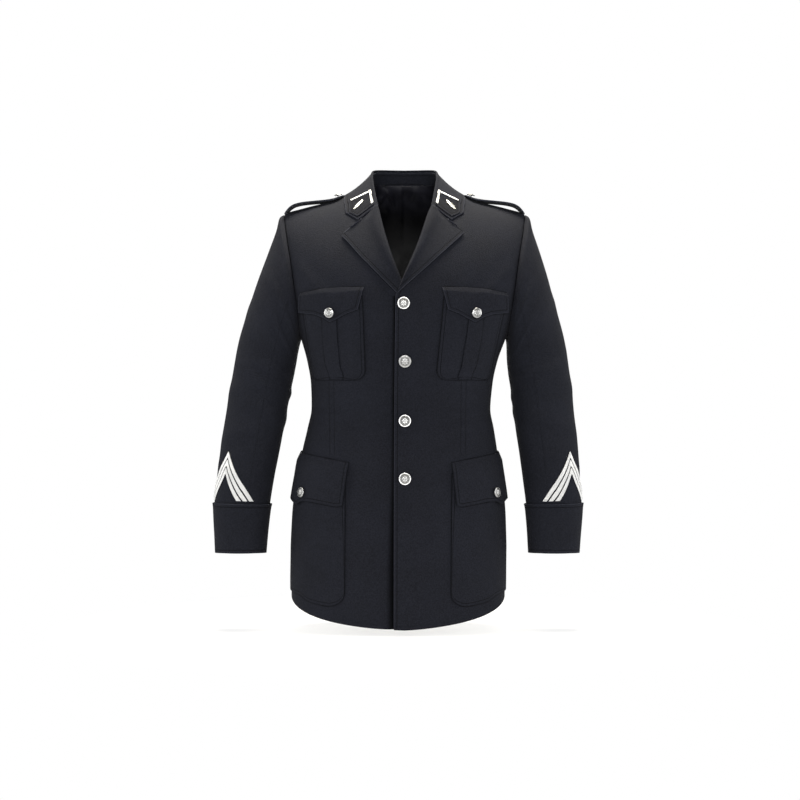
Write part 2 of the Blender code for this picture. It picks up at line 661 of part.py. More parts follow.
def collar_end(side, v):
    """The collar's front end: down the gorge seam to the notch, then out to the collar's point."""
    gorge = smooth(COLLAR_ROLL, 1.0) * np.array([side, 1.0, 1.0])
    notch = np.array([side * NOTCH[0], front_y(NOTCH[0], NOTCH[1]), NOTCH[1]])
    tip = smooth(COLLAR_EDGE, 1.0) * np.array([side, 1.0, 1.0])
    rise = np.array([0.0, 0.0, 0.0016])
    if v < COLLAR_NOTCH_AT:
        return gorge + (notch - gorge) * v / COLLAR_NOTCH_AT + rise
    return notch + (tip - notch) * (v - COLLAR_NOTCH_AT) / (1 - COLLAR_NOTCH_AT) + rise


def fall_clear(side, t, v):
    point = fall_point(side, min(t, 0.87), v)
    if t > 0.87:
        share = (t - 0.87) / 0.13
        point = point + (collar_end(side, v) - point) * share
    return clear_of_trunk(point, 0.0040 if t < 0.66 else 0.0032) if v > 0.05 else point


def collar_fall():
    def face(u, v):
        t = abs(u * 2 - 1)
        side = 1.0 if u >= 0.5 else -1.0
        return fall_clear(side, t, v)

    def away(point):
        return np.array([point[0], point[1] - 0.005, 0.02])

    def thick(u, v):
        """Pressed thin where the fold meets the lapel."""
        near = max(0.0, abs(u * 2 - 1) - 0.87) / 0.13 * max(0.0, 1 - v / 0.38)
        return CLOTH * (1 - 0.5 * near)

    across = sorted([0.5 + 0.5 * t for t in FALL_T] + [0.5 - 0.5 * t for t in FALL_T if t > 0])
    return sheet("collar_fall", face, across, FALL_V, thick, FABRIC, away)


FALL_T = [0.0, 0.09, 0.18, 0.27, 0.35, 0.42, 0.49, 0.55, 0.60, 0.66, 0.72, 0.77, 0.82, 0.87, 0.935, 1.0]
FALL_V = [0.0, 0.10, 0.20, 0.38, 0.60, 0.74, 0.88, 1.0]


# Sleeves and cuffs
def armhole_point(side, phi):
    """The armhole seam: 0 at the shoulder, a quarter at the front, a half under the arm."""
    front = phi <= 0.5
    share = phi / 0.5 if front else (1.0 - phi) / 0.5
    z = -0.0310 + (UNDERARM + 0.0310) * (1 - math.cos(share * math.pi)) / 2
    if z > PANEL_TOP:
        table = ARMHOLE_FRONT if front else ARMHOLE_BACK
        x = float(smooth(table, z)[0])
        return front_face(side, x, z) if front else back_face(side, x, z)
    drop = min(1.0, (PANEL_TOP - z) / (PANEL_TOP - UNDERARM))
    turn = math.asin(min(1.0, drop**(1 / 0.7))) / (math.pi / 2)
    start = angle_of(smooth(ARMHOLE_FRONT, PANEL_TOP)[0], PANEL_TOP) if front else SIDE_SEAM
    middle = (angle_of(smooth(ARMHOLE_FRONT, PANEL_TOP)[0], PANEL_TOP) + SIDE_SEAM) / 2
    return trunk(side, start + (middle - start) * turn, z)


SLEEVE_KEYS = [(k,) + row for k, row in enumerate(SLEEVE)]


def sleeve_ring(side, phi, k):
    ox, oz, ix, iz, depth, mid, _ = smooth(SLEEVE_KEYS, k)
    centre = np.array([(ox + ix) / 2, mid, (oz + iz) / 2])
    arm = np.array([(ox - ix) / 2, 0.0, (oz - iz) / 2])
    c, s = math.cos(2 * math.pi * phi), math.sin(2 * math.pi * phi)
    c = math.copysign(abs(c)**0.94, c)
    s = math.copysign(abs(s)**0.94, s)
    point = centre + arm * c + np.array([0.0, -depth, 0.0]) * s
    return point * np.array([side, 1.0, 1.0])


def sleeve_point(side, phi, k):
    """The sleeve's outer face. k counts the rows of its table from the armhole to the cuff."""
    share = float(smooth(SLEEVE_KEYS, k)[6])
    point = sleeve_ring(side, phi, k)
    if share > 0:
        own = armhole_point(side, phi) - sleeve_ring(side, phi, 0.0)
        point = point + own * share
    if side > 0:
        point[0] += float(smooth(SLEEVE_LEAN, min(point[2], -0.03))[0]) * (1 - share)**2
    return point


def sleeve_middle(k, side=-1.0):
    ox, oz, ix, iz, depth, mid, share = smooth(SLEEVE_KEYS, k)
    z = (oz + iz) / 2
    lean = float(smooth(SLEEVE_LEAN, min(z, -0.03))[0]) * (1 - share)**2 if side > 0 else 0.0
    return np.array([side * (ox + ix) / 2 + lean, mid, z])


SLEEVE_ROWS = [0.09, 0.6, 1.2, 2.0, 2.9, 3.8, 4.7, 5.7, 6.7, 7.7, 8.8, 9.9, 11.0, 12.0, 13.0]


def sleeve_half(name, side, top):
    """The top sleeve covers the front, outside and back; the undersleeve faces the body."""
    low, high = (-0.335, 0.2852) if top else (0.2894, 0.6628)
    mids = [sleeve_middle(k / 2, side) for k in range(0, 27)]

    def face(u, v):
        k = SLEEVE_ROWS[0] + (13.0 - SLEEVE_ROWS[0]) * v
        return sleeve_point(side, (low + (high - low) * u) % 1.0, k)

    def away(point):
        return point - min(mids, key=lambda m: np.linalg.norm(point - m))

    along = [(k - SLEEVE_ROWS[0]) / (13.0 - SLEEVE_ROWS[0]) for k in SLEEVE_ROWS]
    columns = 13 if top else 8
    label = "top_sleeve_" if top else "undersleeve_"
    across = [0.5 * q + 0.25 * (1 - math.cos(math.pi * q)) for q in even(columns)]
    return sheet(label + name, face, across, along, CLOTH, FABRIC, away)


def cuff(name, side):
    """The turned-back end of a sleeve, an open tube around it."""
    around, along = 24, [11.1, 11.7, 12.4, 13.03]

    def ring(phi, k):
        point = sleeve_point(side, phi % 1.0, min(k, 13.0))
        end = max(0.0, (k - 12.4) / 0.63)
        rise = CUFF_RISE * math.sin(2 * math.pi * phi) * end
        return point + np.array([0.0, 0.0, rise - 0.046 * max(0.0, k - 13.0)])

    bm = bmesh.new()
    bmesh.ops.create_cone(bm, cap_ends=False, segments=around, radius1=1.0, radius2=1.0, depth=2.0)
    bmesh.ops.subdivide_edges(bm, edges=[e for e in bm.edges if abs(e.verts[0].co.z - e.verts[1].co.z) > 1],
                              cuts=len(along) - 2)
    for vert in bm.verts:
        phi = math.atan2(vert.co.y, vert.co.x) / (2 * math.pi) % 1.0
        k = along[int(round((1.0 - vert.co.z) / 2 * (len(along) - 1)))]
        point = ring(phi, k)
        n = np.cross(ring(phi + 1e-3, k) - ring(phi - 1e-3, k), ring(phi, k + 0.01) - ring(phi, k - 0.01))
        n /= np.linalg.norm(n)
        if n @ (point - sleeve_middle(k, side)) < 0:
            n = -n
        vert.co = Vector(point + n * 0.0031)
    bmesh.ops.recalc_face_normals(bm, faces=list(bm.faces))
    middle = Vector(sleeve_middle(12.0, side))
    if sum(f.normal.dot(f.calc_center_median() - middle) for f in bm.faces) < 0:
        bmesh.ops.reverse_faces(bm, faces=list(bm.faces))
    body = finish("cuff_" + name, bm, FABRIC)
    cloth = body.modifiers.new("cloth", "SOLIDIFY")
    cloth.thickness = CLOTH
    cloth.offset = -1.0
    return body


# What is laid on the panels
def patch(name, side, corner, across, along, lift, thick, mat=FABRIC, away=from_chest):
    """corner(u, v) gives the girth and height of a place on the front."""
    def face(u, v):
        girth, z = corner(u, v)
        return by_girth(side, girth, z)
    return sheet(name, face, across, along, thick, mat, away, lift)


def between(top, edge, u, v, shift=0.0):
    """A place on a flap: u along it, v from its lower edge (0) to its top (1)."""
    a, b = np.asarray(top), np.asarray(edge)
    g0, g1 = a[0, 0] + (a[-1, 0] - a[0, 0]) * u, b[0, 0] + (b[-1, 0] - b[0, 0]) * u
    z0 = float(smooth(top, g0)[0])
    z1 = float(straight(edge, g1)[0])
    return g1 + (g0 - g1) * v + shift, z1 + (z0 - z1) * v


def flap_shares(top, edge):
    b = np.asarray(edge)
    knots = [(g - b[0, 0]) / (b[-1, 0] - b[0, 0]) for g in b[:, 0]]
    out = [knots[0]]
    for a, c in zip(knots, knots[1:]):
        count = max(1, int(math.ceil((c - a) * (b[-1, 0] - b[0, 0]) / 0.016)))
        out += [a + (c - a) * (q + 1) / count for q in range(count)]
    return out


def chest_rise(v):
    """How far the chest pocket's inner face stands off the front: a little more at its foot."""
    return LAID_ON + 0.0004 * max(0.0, 1 - v / 0.55)


def chest_pocket(name, side):
    shift = CHEST_SHIFT[name]
    foot, top = CHEST_POCKET

    def spot(u, v):
        corner = max(0.0, 1 - v * (top - foot) / CHEST_CORNER)
        tuck = CHEST_CORNER * (1 - math.sqrt(max(0.0, 1 - corner**2)))
        inner, outer = 0.0650 + 0.0098 * v + tuck, 0.1830 + 0.0120 * v - tuck
        return inner + (outer - inner) * u + shift, foot + (top - foot) * v

    along = [0.0, 0.02, 0.06, 0.125, 0.21, 0.32, 0.44, 0.56, 0.7, 0.84, 1.0]
    patch("chest_pocket_" + name, side, spot, even(9), along, lambda u, v: chest_rise(v) + 0.0013, 0.0013)

    def pleat(u, v):
        z = CHEST_PLEAT[0][0] + (CHEST_PLEAT[-1][0] - CHEST_PLEAT[0][0]) * v
        middle, half = smooth(CHEST_PLEAT, z)
        return middle + half * (2 * u - 1) + shift, z

    patch("chest_pleat_" + name, side, pleat, even(4), [0.0, 0.06, 0.12, 0.21, 0.32, 0.48, 0.64, 0.82, 1.0],
          lambda u, v: chest_rise(v) + 0.0013 + 0.0005 + 0.0012, 0.0012)

    def lift(u, v):
        return LAID_ON + TRIM_CLOTH + 0.0037 * min(1.0, (1 - v) / 0.16)

    across, along = flap_shares(CHEST_FLAP_TOP, CHEST_FLAP_EDGE), [0.0, 0.2, 0.42, 0.65, 0.84, 0.93, 1.0]
    patch("chest_flap_" + name, side, lambda u, v: between(CHEST_FLAP_TOP, CHEST_FLAP_EDGE, u, v, shift),
          across, along, lift, TRIM_CLOTH)


def hip_pocket(name, side):
    def spot(u, v):
        start = 0.0945 + HIP_SHIFT[name]
        girth = start + (0.2930 - start) * u
        top = float(smooth(HIP_FLAP_TOP, girth)[0]) - 0.020
        bottom = float(smooth(HIP_POCKET_FOOT, girth)[0])
        corner = max(0.0, 1 - min(u, 1 - u) / HIP_CORNER[0])
        bottom += HIP_CORNER[1] * (1 - math.sqrt(max(0.0, 1 - corner**2)))
        return girth, bottom + (top - bottom) * v

    def lift(u, v):
        bulge = math.sin(math.pi * min(max(u, 0.0), 1.0))**0.5 * math.sin(math.pi * min(1.0, v * 0.9))**0.6
        return LAID_ON + 0.0013 + 0.0016 * bulge

    across = [0.0, 0.014, 0.045, 0.095, 0.17, 0.27, 0.38, 0.5, 0.62, 0.73, 0.83, 0.90, 0.96, 1.0]
    patch("hip_pocket_" + name, side, spot, across, [0.0, 0.06, 0.18, 0.32, 0.46, 0.6, 0.74, 0.88, 1.0],
          lift, 0.0013)

    patch("hip_flap_" + name, side, lambda u, v: between(HIP_FLAP_TOP, HIP_FLAP_EDGE, u, v),
          flap_shares(HIP_FLAP_TOP, HIP_FLAP_EDGE), [0.0, 0.2, 0.42, 0.65, 0.8, 0.92, 1.0], hip_flap_rise,
          TRIM_CLOTH)


def hip_flap_rise(u, v):
    """How far the hip flap's outer face stands off the front: most at its point."""
    spread = 0.0008 * math.sin(math.pi * min(1.0, (1 - v) / 1.5)) * math.sin(math.pi * u)
    flare = 0.0034 * (1 - v)**1.5 * math.exp(-((u - 0.52) / 0.20)**2)
    return LAID_ON + TRIM_CLOTH + 0.0040 * min(1.0, (1 - v) / 0.2) + spread + flare


def flap_surface(top, edge, side, u, v, lift, shift=0.0):
    """The middle of a flap's outer face and the way out of it."""
    def face(a, b):
        girth, z = between(top, edge, a, b, shift)
        return by_girth(side, girth, z)
    point = face(u, v)
    n = normal_of(face, u, v, from_chest(point), 2e-3)
    return point + n * lift, n


def shoulder_strap(name, side):
    low, high = STRAP[0][0], STRAP[-1][0]

    def face(u, v):
        x = low + (high - low) * v
        z, half, drop = smooth(STRAP, x)
        across = 2 * u - 1
        return np.array([side * x, RIDGE_Y + half * across, z - drop * across * across])

    def away(point):
        return np.array([0.0, 0.0, 1.0])

    along = [0.0, 0.03, 0.08, 0.16, 0.26, 0.38, 0.5, 0.62, 0.74, 0.84, 0.91, 0.97, 1.0]
    return sheet("shoulder_strap_" + name, face, even(7), along, 0.0023, FABRIC, away)


def button(name, place, way, width, gap=0.0003):
    """A domed metal button with a rolled rim and a shank, turned about its axis."""
    r = width / 2
    rows = (
        (0.000, 0.42), (0.42, 0.38), (0.78, 0.24), (0.88, 0.20), (0.97, 0.19),
        (1.00, 0.11), (0.88, 0.03), (0.24, -0.06), (0.22, -0.26), (0.00, -0.26))
    bm = bmesh.new()
    ring = [bm.verts.new((r * a, 0.0, r * b)) for a, b in rows]
    for one, two in zip(ring, ring[1:]):
        bm.edges.new((one, two))
    body = finish(name, bm, SILVER)
    turned = body.modifiers.new("turned", "SCREW")
    turned.axis = "Z"
    turned.steps = turned.render_steps = 10
    turned.use_merge_vertices = True
    turned.merge_threshold = 0.00001
    turned.use_smooth_shade = True
    axis = Vector(way).normalized()
    body.rotation_mode = "QUATERNION"
    body.rotation_quaternion = Vector((0, 0, 1)).rotation_difference(axis)
    body.location = Vector(place) + axis * (0.26 * r + gap)
    return body


def front_buttons():
    for index, (x, z) in enumerate(BUTTON_PLACES):
        def face(u, v):
            return front_face(1.0, x + (u - 0.5) * 0.01, z + (v - 0.5) * 0.01)
        n = normal_of(face, 0.5, 0.5, np.array([0.0, -1.0, 0.0]), 0.4)
        gap = -0.0006 if index == 0 else 0.0003
        button("front_button_%d" % (index + 1), front_face(1.0, x, z), n, FRONT_BUTTON, gap)


def small_buttons(name, side):
    proud = LAID_ON + TRIM_CLOTH + 0.0037
    place, n = flap_surface(CHEST_FLAP_TOP, CHEST_FLAP_EDGE, side, 0.432, 0.260, proud, CHEST_SHIFT[name])
    button("chest_button_" + name, place, n, CHEST_BUTTON)
    place, n = flap_surface(HIP_FLAP_TOP, HIP_FLAP_EDGE, side, 0.410, 0.190, hip_flap_rise(0.410, 0.190))
    button("hip_button_" + name, place, n, HIP_BUTTON)
    z = float(smooth(STRAP, 0.1205)[0])
    place = np.array([side * 0.1205, RIDGE_Y, z])
    button("strap_button_" + name, place, np.array([side * 0.2, 0.0, 1.0]), STRAP_BUTTON)


# Collar patches and sleeve chevrons
def patch_place(side, u, v):
    """A place on the collar patch: u down it to the gorge, v from the fold out to its outer edge."""
    t = (0.862 - 0.030 * v) * (1 - u) + 0.985 * u
    w = (0.190 - 0.090 * u) * (1 - v) + 0.880 * v
    return fall_clear(side, t, w)


def collar_piece(name, side, low, high, counts, lift, thick, mat):
    """A piece laid on the collar, between two corners given in the patch's own shares."""
    def face(u, v):
        return patch_place(side, low[0] + (high[0] - low[0]) * u, low[1] + (high[1] - low[1]) * v)

    def away(point):
        return np.array([point[0], point[1] - 0.005, 0.02])

    return sheet(name, face, even(counts[0]), even(counts[1]), thick, mat, away, lift)


def collar_leaf(name, side, lift):
    """A flat leaf, pinned on the patch along its slant."""
    tip, stem = patch_place(side, 0.25, 0.35), patch_place(side, 0.765, 0.87)
    centre = patch_place(side, 0.51, 0.61)
    along = (tip - stem) / np.linalg.norm(tip - stem)
    over = patch_place(side, 0.25, 0.87) - patch_place(side, 0.765, 0.35)
    n = np.cross(along, over)
    n /= np.linalg.norm(n)
    if n @ np.array([centre[0], centre[1] - 0.005, 0.02]) < 0:
        n = -n
    over = np.cross(n, along)

    def face(u, v):
        length = 2 * u - 1
        wide = LEAF[1] * (1 - length * length)**0.7 + 0.0007
        return centre + along * length * LEAF[0] + over * wide * (2 * v - 1)

    return sheet(name, face, even(7), even(4), 0.0011, SILVER, lambda point: n, lift)


def collar_trim(name, side):
    on_patch = COLLAR_GAP + 0.0008
    on_top = on_patch + 0.0005 + 0.0007
    collar_piece("collar_patch_" + name, side, (0.0, 0.0), (1.0, 1.0), (9, 9), on_patch, 0.0008, PATCH)
    collar_piece("collar_bar_" + name, side, (0.03, 0.05), (0.90, 0.18), (8, 3), on_top, 0.0007, BRAID)
    collar_piece("collar_cord_" + name, side, (0.03, 0.21), (0.16, 0.90), (3, 7), on_top, 0.0007, BRAID)
    collar_leaf("collar_leaf_" + name, side, on_patch + LEAF_GAP + 0.0011)


def chevron(name, side, index):
    """A stripe of braid in a V that points up, from the outside of the sleeve down to the cuff."""
    apex = STRIPE_APEX - STRIPE_STEP * index
    top_reach = ((apex - CUFF_TOP) / STRIPE_FALL)**(1 / STRIPE_BEND)
    low_reach = ((apex - STRIPE_HEIGHT - CUFF_TOP) / STRIPE_FALL)**(1 / STRIPE_BEND)
    mids = [sleeve_middle(8 + k / 4, side) for k in range(0, 17)]

    def face(u, v):
        across = (2 * u - 1) * (low_reach + (top_reach - low_reach) * v)
        phi = STRIPE_AXIS + STRIPE_SPREAD * across
        z = apex - STRIPE_FALL * abs(across)**STRIPE_BEND - STRIPE_HEIGHT * (1 - v)
        return sleeve_point(side, phi % 1.0, k_of_height(side, phi % 1.0, z))

    def away(point):
        return point - min(mids, key=lambda m: np.linalg.norm(point - m))

    return sheet("chevron_%s_%d" % (name, index + 1), face, even(15), [0.0, 1.0], 0.0010, BRAID, away,
                 STRIPE_GAP + 0.0010)


def k_of_height(side, phi, z):
    low, high = 6.0, 13.0
    for _ in range(30):
        middle = (low + high) / 2
        if sleeve_point(side, phi, middle)[2] > z:
            low = middle
        else:
            high = middle
    return (low + high) / 2


clear_scene()
bpy.context.scene.collection.children.link(collection)
TREE = trunk_tree()
for NAME, SIDE in (("left", 1.0), ("right", -1.0)):
    front_panel(NAME, SIDE)
    back_panel(NAME, SIDE)
    lapel(NAME, SIDE)
    sleeve_half(NAME, SIDE, True)
    sleeve_half(NAME, SIDE, False)
    cuff(NAME, SIDE)
    chest_pocket(NAME, SIDE)
    hip_pocket(NAME, SIDE)
    shoulder_strap(NAME, SIDE)
    small_buttons(NAME, SIDE)
    collar_trim(NAME, SIDE)
    for STRIPE in range(3):
        chevron(NAME, SIDE, STRIPE)
back_lining()
collar_stand()
collar_fall()
front_buttons()
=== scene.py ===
"""The looks of a police uniform tunic, filled out as it is worn, with nobody in it.

Each piece of cloth is a grid laid on the same surfaces as its solid, and gets its thickness
from a Solidify modifier. Sizes are in metres. +Z is up, the front of the tunic faces -Y and
the wearer's left is +X.
"""

import math

import bmesh
import bpy
import numpy as np
from bpy.props import FloatProperty, FloatVectorProperty, IntProperty, PointerProperty
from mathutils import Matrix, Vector
from mathutils.bvhtree import BVHTree


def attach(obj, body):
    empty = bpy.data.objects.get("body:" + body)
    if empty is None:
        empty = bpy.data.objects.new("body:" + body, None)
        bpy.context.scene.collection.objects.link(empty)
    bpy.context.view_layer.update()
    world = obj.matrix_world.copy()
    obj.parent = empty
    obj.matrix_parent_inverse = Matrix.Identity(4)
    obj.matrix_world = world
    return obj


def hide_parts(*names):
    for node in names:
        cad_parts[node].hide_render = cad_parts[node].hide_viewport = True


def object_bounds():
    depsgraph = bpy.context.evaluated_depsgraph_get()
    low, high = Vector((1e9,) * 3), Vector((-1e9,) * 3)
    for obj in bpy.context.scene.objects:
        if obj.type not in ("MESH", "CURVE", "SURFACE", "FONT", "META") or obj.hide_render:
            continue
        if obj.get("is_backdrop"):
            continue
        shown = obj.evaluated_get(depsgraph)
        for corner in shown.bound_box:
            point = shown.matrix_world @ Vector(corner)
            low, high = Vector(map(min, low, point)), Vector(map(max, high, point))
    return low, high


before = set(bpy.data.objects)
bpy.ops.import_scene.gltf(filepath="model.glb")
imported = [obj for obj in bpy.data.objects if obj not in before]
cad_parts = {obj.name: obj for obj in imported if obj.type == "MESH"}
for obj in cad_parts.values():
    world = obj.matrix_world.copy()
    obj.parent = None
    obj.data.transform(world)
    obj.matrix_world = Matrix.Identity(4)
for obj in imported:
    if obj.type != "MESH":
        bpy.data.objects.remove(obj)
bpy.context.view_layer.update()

bl_info = {
    "name": "Uniform tunic",
    "version": (1, 0, 0),
    "blender": (4, 5, 0),
    "location": "View3D > Sidebar > Tunic",
    "description": "Builds the cloth, trimmings and buttons of a uniform tunic around its solids",
    "category": "Mesh",
}

# Cloth and what lies on it
CLOTH = 0.0020
TRIM_CLOTH = 0.0016
LINING = 0.0011
LAID_ON = 0.0011
SECTION_POWER = 2.4
RIDGE_Y = 0.0120
FRONT_OVER = -0.0165
FRONT_UNDER = -0.0180
UNDER_SINK = 0.0059
PANEL_TOP = -0.2350
UNDERARM = -0.2550
SIDE_SEAM = 112.0
BACK_HEM = -0.7320
SIDE_HEM = -0.7207
HEM_DROP = 0.0545
HEM_SLACK = 0.0022
CUFF_RISE = 0.0020
SEAM = 0.0003
BUTTON_PLACES = ((-0.0018, -0.1994), (0.0005, -0.3009), (0.0005, -0.4065), (0.0005, -0.5084))
CUFF_TOP = -0.5510
LAPEL_START = 0.04
COLLAR_GAP = 0.0010
LEAF = (0.0135, 0.0036)
LEAF_GAP = 0.0008

# Sections of the trunk, the same as those of the solids
TRUNK = (
    # height, half width, front depth, back depth, sideways drift
    (-0.8000, 0.1940, 0.1180, 0.1220, -0.0120),
    (-0.7000, 0.1935, 0.1180, 0.1250, -0.0115),
    (-0.5800, 0.1905, 0.1175, 0.1250, -0.0105),
    (-0.5000, 0.1830, 0.1150, 0.1200, -0.0095),
    (-0.4600, 0.1770, 0.1120, 0.1130, -0.0085),
    (-0.4200, 0.1690, 0.1080, 0.1050, -0.0070),
    (-0.3850, 0.1625, 0.1065, 0.1010, -0.0065),
    (-0.3400, 0.1650, 0.1100, 0.1030, -0.0050),
    (-0.3000, 0.1725, 0.1170, 0.1090, -0.0040),
    (-0.2550, 0.1870, 0.1235, 0.1160, -0.0020),
    (-0.2000, 0.2060, 0.1260, 0.1200, 0.0),
    (-0.1500, 0.2180, 0.1260, 0.1210, 0.0),
    (-0.1000, 0.2260, 0.1250, 0.1210, 0.0),
    (-0.0500, 0.2310, 0.1240, 0.1200, 0.0),
    (0.0600, 0.2330, 0.1240, 0.1180, 0.0),
)
SHOULDER = (
    # distance from the middle, height of the shoulder line
    (0.0000, 0.0360), (0.0450, 0.0270), (0.0730, 0.0115), (0.0919, 0.0036), (0.1100, 0.0002),
    (0.1243, -0.0048), (0.1380, -0.0087), (0.1614, -0.0138), (0.1890, -0.0209),
    (0.2106, -0.0268), (0.2190, -0.0310), (0.2400, -0.0400),
)
BACK_TOP = ((0.0000, 0.0500), (0.0250, 0.0460), (0.0500, 0.0340)) + SHOULDER[2:]
ARMHOLE_FRONT = (
    # height, distance from the middle
    (-0.2350, 0.1895), (-0.2070, 0.1920), (-0.1850, 0.1950), (-0.1570, 0.1990),
    (-0.1174, 0.2045), (-0.0980, 0.2080), (-0.0673, 0.2135), (-0.0500, 0.2160),
    (-0.0310, 0.2190),
)
ARMHOLE_BACK = (
    (-0.2350, 0.1817), (-0.2000, 0.1865), (-0.1500, 0.1950), (-0.1000, 0.2030),
    (-0.0500, 0.2140), (-0.0310, 0.2190),
)
NECK_FRONT = ((-0.0210, 0.0480), (-0.0090, 0.0560), (0.0010, 0.0640), (0.0070, 0.0700), (0.0115, 0.0730))
NECK_BACK = ((0.0000, 0.0247), (0.0330, 0.0225), (0.0560, 0.0165), (0.0730, 0.0115))
ROLL = {
    # height, distance from the middle: from the lowest turn of the lapel to the gorge
    "left": ((-0.1865, -0.0160), (-0.1600, -0.0050), (-0.0889, 0.0253), (-0.0443, 0.0400), (-0.0210, 0.0480)),
    "right": ((-0.2150, -0.0175), (-0.1600, 0.0055), (-0.0925, 0.0304), (-0.0449, 0.0430), (-0.0210, 0.0480)),
}
LAPEL_EDGE = {
    # share of the roll line, distance from the middle, height of the lapel's outer edge
    "left": ((0.00, -0.0160, -0.1858), (0.05, -0.0105, -0.1790), (0.18, 0.0034, -0.1665),
             (0.40, 0.0336, -0.1405), (0.62, 0.0640, -0.1120), (0.86, 0.0975, -0.0815),
             (0.91, 0.1055, -0.0735), (1.00, 0.0830, -0.0536)),
    "right": ((0.00, -0.0175, -0.2140), (0.05, -0.0120, -0.2065), (0.18, 0.0060, -0.1885),
              (0.40, 0.0400, -0.1555), (0.62, 0.0759, -0.1186), (0.86, 0.1030, -0.0880),
              (0.91, 0.1121, -0.0783), (1.00, 0.0840, -0.0543)),
}
COLLAR_ROLL = (
    # share from the middle of the back to the gorge, and the place of the fold
    (0.00, 0.0000, 0.0660, 0.0547), (0.25, 0.0300, 0.0600, 0.0545), (0.45, 0.0500, 0.0420, 0.0525),
    (0.60, 0.0580, 0.0200, 0.0480), (0.72, 0.0592, -0.0010, 0.0385), (0.82, 0.0575, -0.0200, 0.0230),
    (0.91, 0.0530, -0.0415, 0.0010), (1.00, 0.0480, -0.0640, -0.0210),
)
COLLAR_SEAM = (
    # the same shares, distance from the middle and height on the neck seam
    (0.00, 0.0000, 0.0247), (0.25, 0.0330, 0.0225), (0.45, 0.0560, 0.0165), (0.60, 0.0730, 0.0115),
    (0.72, 0.0700, 0.0070), (0.82, 0.0640, 0.0010), (0.91, 0.0560, -0.0090), (1.00, 0.0480, -0.0210),
)
COLLAR_EDGE = (
    # the same shares, the place of the collar's outer edge
    (0.00, 0.0000, 0.0950, -0.0040), (0.25, 0.0400, 0.0905, -0.0040), (0.45, 0.0800, 0.0600, -0.0015),
    (0.60, 0.1065, 0.0120, 0.0055), (0.72, 0.1095, -0.0080, -0.0020), (0.82, 0.1085, -0.0290, -0.0140),
    (0.91, 0.1060, -0.0430, -0.0245), (1.00, 0.1055, -0.0545, -0.0345),
)
NOTCH = (0.0830, -0.0500)
COLLAR_NOTCH_AT = 0.60
SLEEVE = (
    # outer x, z, inner x, z, half depth, middle y, share of the armhole's own curve
    (0.2190, -0.0310, 0.1870, -0.2550, 0.0600, 0.0020, 1.00),
    (0.2282, -0.0395, 0.1885, -0.2590, 0.0660, 0.0020, 0.80),
    (0.2333, -0.0600, 0.1900, -0.2650, 0.0690, 0.0020, 0.60),
    (0.2475, -0.1000, 0.1920, -0.2740, 0.0700, 0.0030, 0.35),
    (0.2660, -0.1500, 0.1945, -0.2870, 0.0690, 0.0040, 0.15),
    (0.2830, -0.2000, 0.1975, -0.3050, 0.0680, 0.0050, 0.05),
    (0.3010, -0.2600, 0.2020, -0.3280, 0.0665, 0.0050, 0.00),
    (0.3115, -0.3150, 0.2075, -0.3580, 0.0640, 0.0030, 0.00),
    (0.3223, -0.3800, 0.2160, -0.4050, 0.0615, -0.0010, 0.00),
    (0.3330, -0.4500, 0.2270, -0.4620, 0.0570, -0.0070, 0.00),
    (0.3387, -0.5000, 0.2355, -0.5060, 0.0530, -0.0120, 0.00),
    (0.3438, -0.5500, 0.2428, -0.5520, 0.0490, -0.0170, 0.00),
    (0.3420, -0.6000, 0.2488, -0.6005, 0.0462, -0.0200, 0.00),
    (0.3396, -0.6440, 0.2526, -0.6440, 0.0445, -0.0220, 0.00),
)
SLEEVE_KEYS = [(k,) + row for k, row in enumerate(SLEEVE)]
SLEEVE_START, SLEEVE_END = 0.09, 13.0
SLEEVE_LEAN = (
    # height, how far the wearer's left sleeve hangs nearer the middle than the right one
    (-0.6450, -0.0262), (-0.5750, -0.0240), (-0.5200, -0.0225), (-0.4600, -0.0190), (-0.4000, -0.0165),
    (-0.3400, -0.0125), (-0.2800, -0.0105), (-0.2200, -0.0090), (-0.1650, -0.0070), (-0.1000, -0.0030),
    (-0.0300, 0.0),
)
CHEST_FLAP_TOP = (
    # along the body from the middle of the front, height
    (0.0715, -0.1710), (0.1060, -0.1710), (0.1420, -0.1727), (0.1960, -0.1790))
CHEST_FLAP_EDGE = (
    (0.0820, -0.2100), (0.1030, -0.2176), (0.1190, -0.2260), (0.1320, -0.2316),
    (0.1470, -0.2225), (0.1630, -0.2170), (0.2030, -0.2122))
CHEST_POCKET = (-0.3335, -0.1880)                 # foot, and top under the flap
CHEST_CORNER = 0.018
CHEST_PLEAT = (
    # height, the pleat's middle along the body, half width
    (-0.3285, 0.1180, 0.0128), (-0.3200, 0.1205, 0.0130), (-0.3130, 0.1240, 0.0134),
    (-0.2985, 0.1276, 0.0143), (-0.2845, 0.1293, 0.0145), (-0.2600, 0.1322, 0.0143),
    (-0.2385, 0.1336, 0.0140), (-0.1900, 0.1350, 0.0132))
CHEST_SHIFT = {"left": -0.0060, "right": 0.0}     # towards the middle of the front
HIP_SHIFT = {"left": -0.0022, "right": 0.0022}
HIP_CORNER = (0.17, 0.027)                        # share of the pocket's width, height
HIP_FLAP_TOP = ((0.0910, -0.4805), (0.1680, -0.4685), (0.2390, -0.4625), (0.2930, -0.4610))
HIP_FLAP_EDGE = (
    (0.1005, -0.5560), (0.1100, -0.5585), (0.1580, -0.5510), (0.1800, -0.5505),
    (0.1970, -0.5580), (0.2140, -0.5480), (0.2400, -0.5425), (0.2850, -0.5405), (0.2950, -0.5380))
HIP_POCKET_FOOT = (
    (0.0900, -0.7380), (0.1325, -0.7335), (0.1640, -0.7280), (0.1900, -0.7175),
    (0.2400, -0.7125), (0.3000, -0.7090))
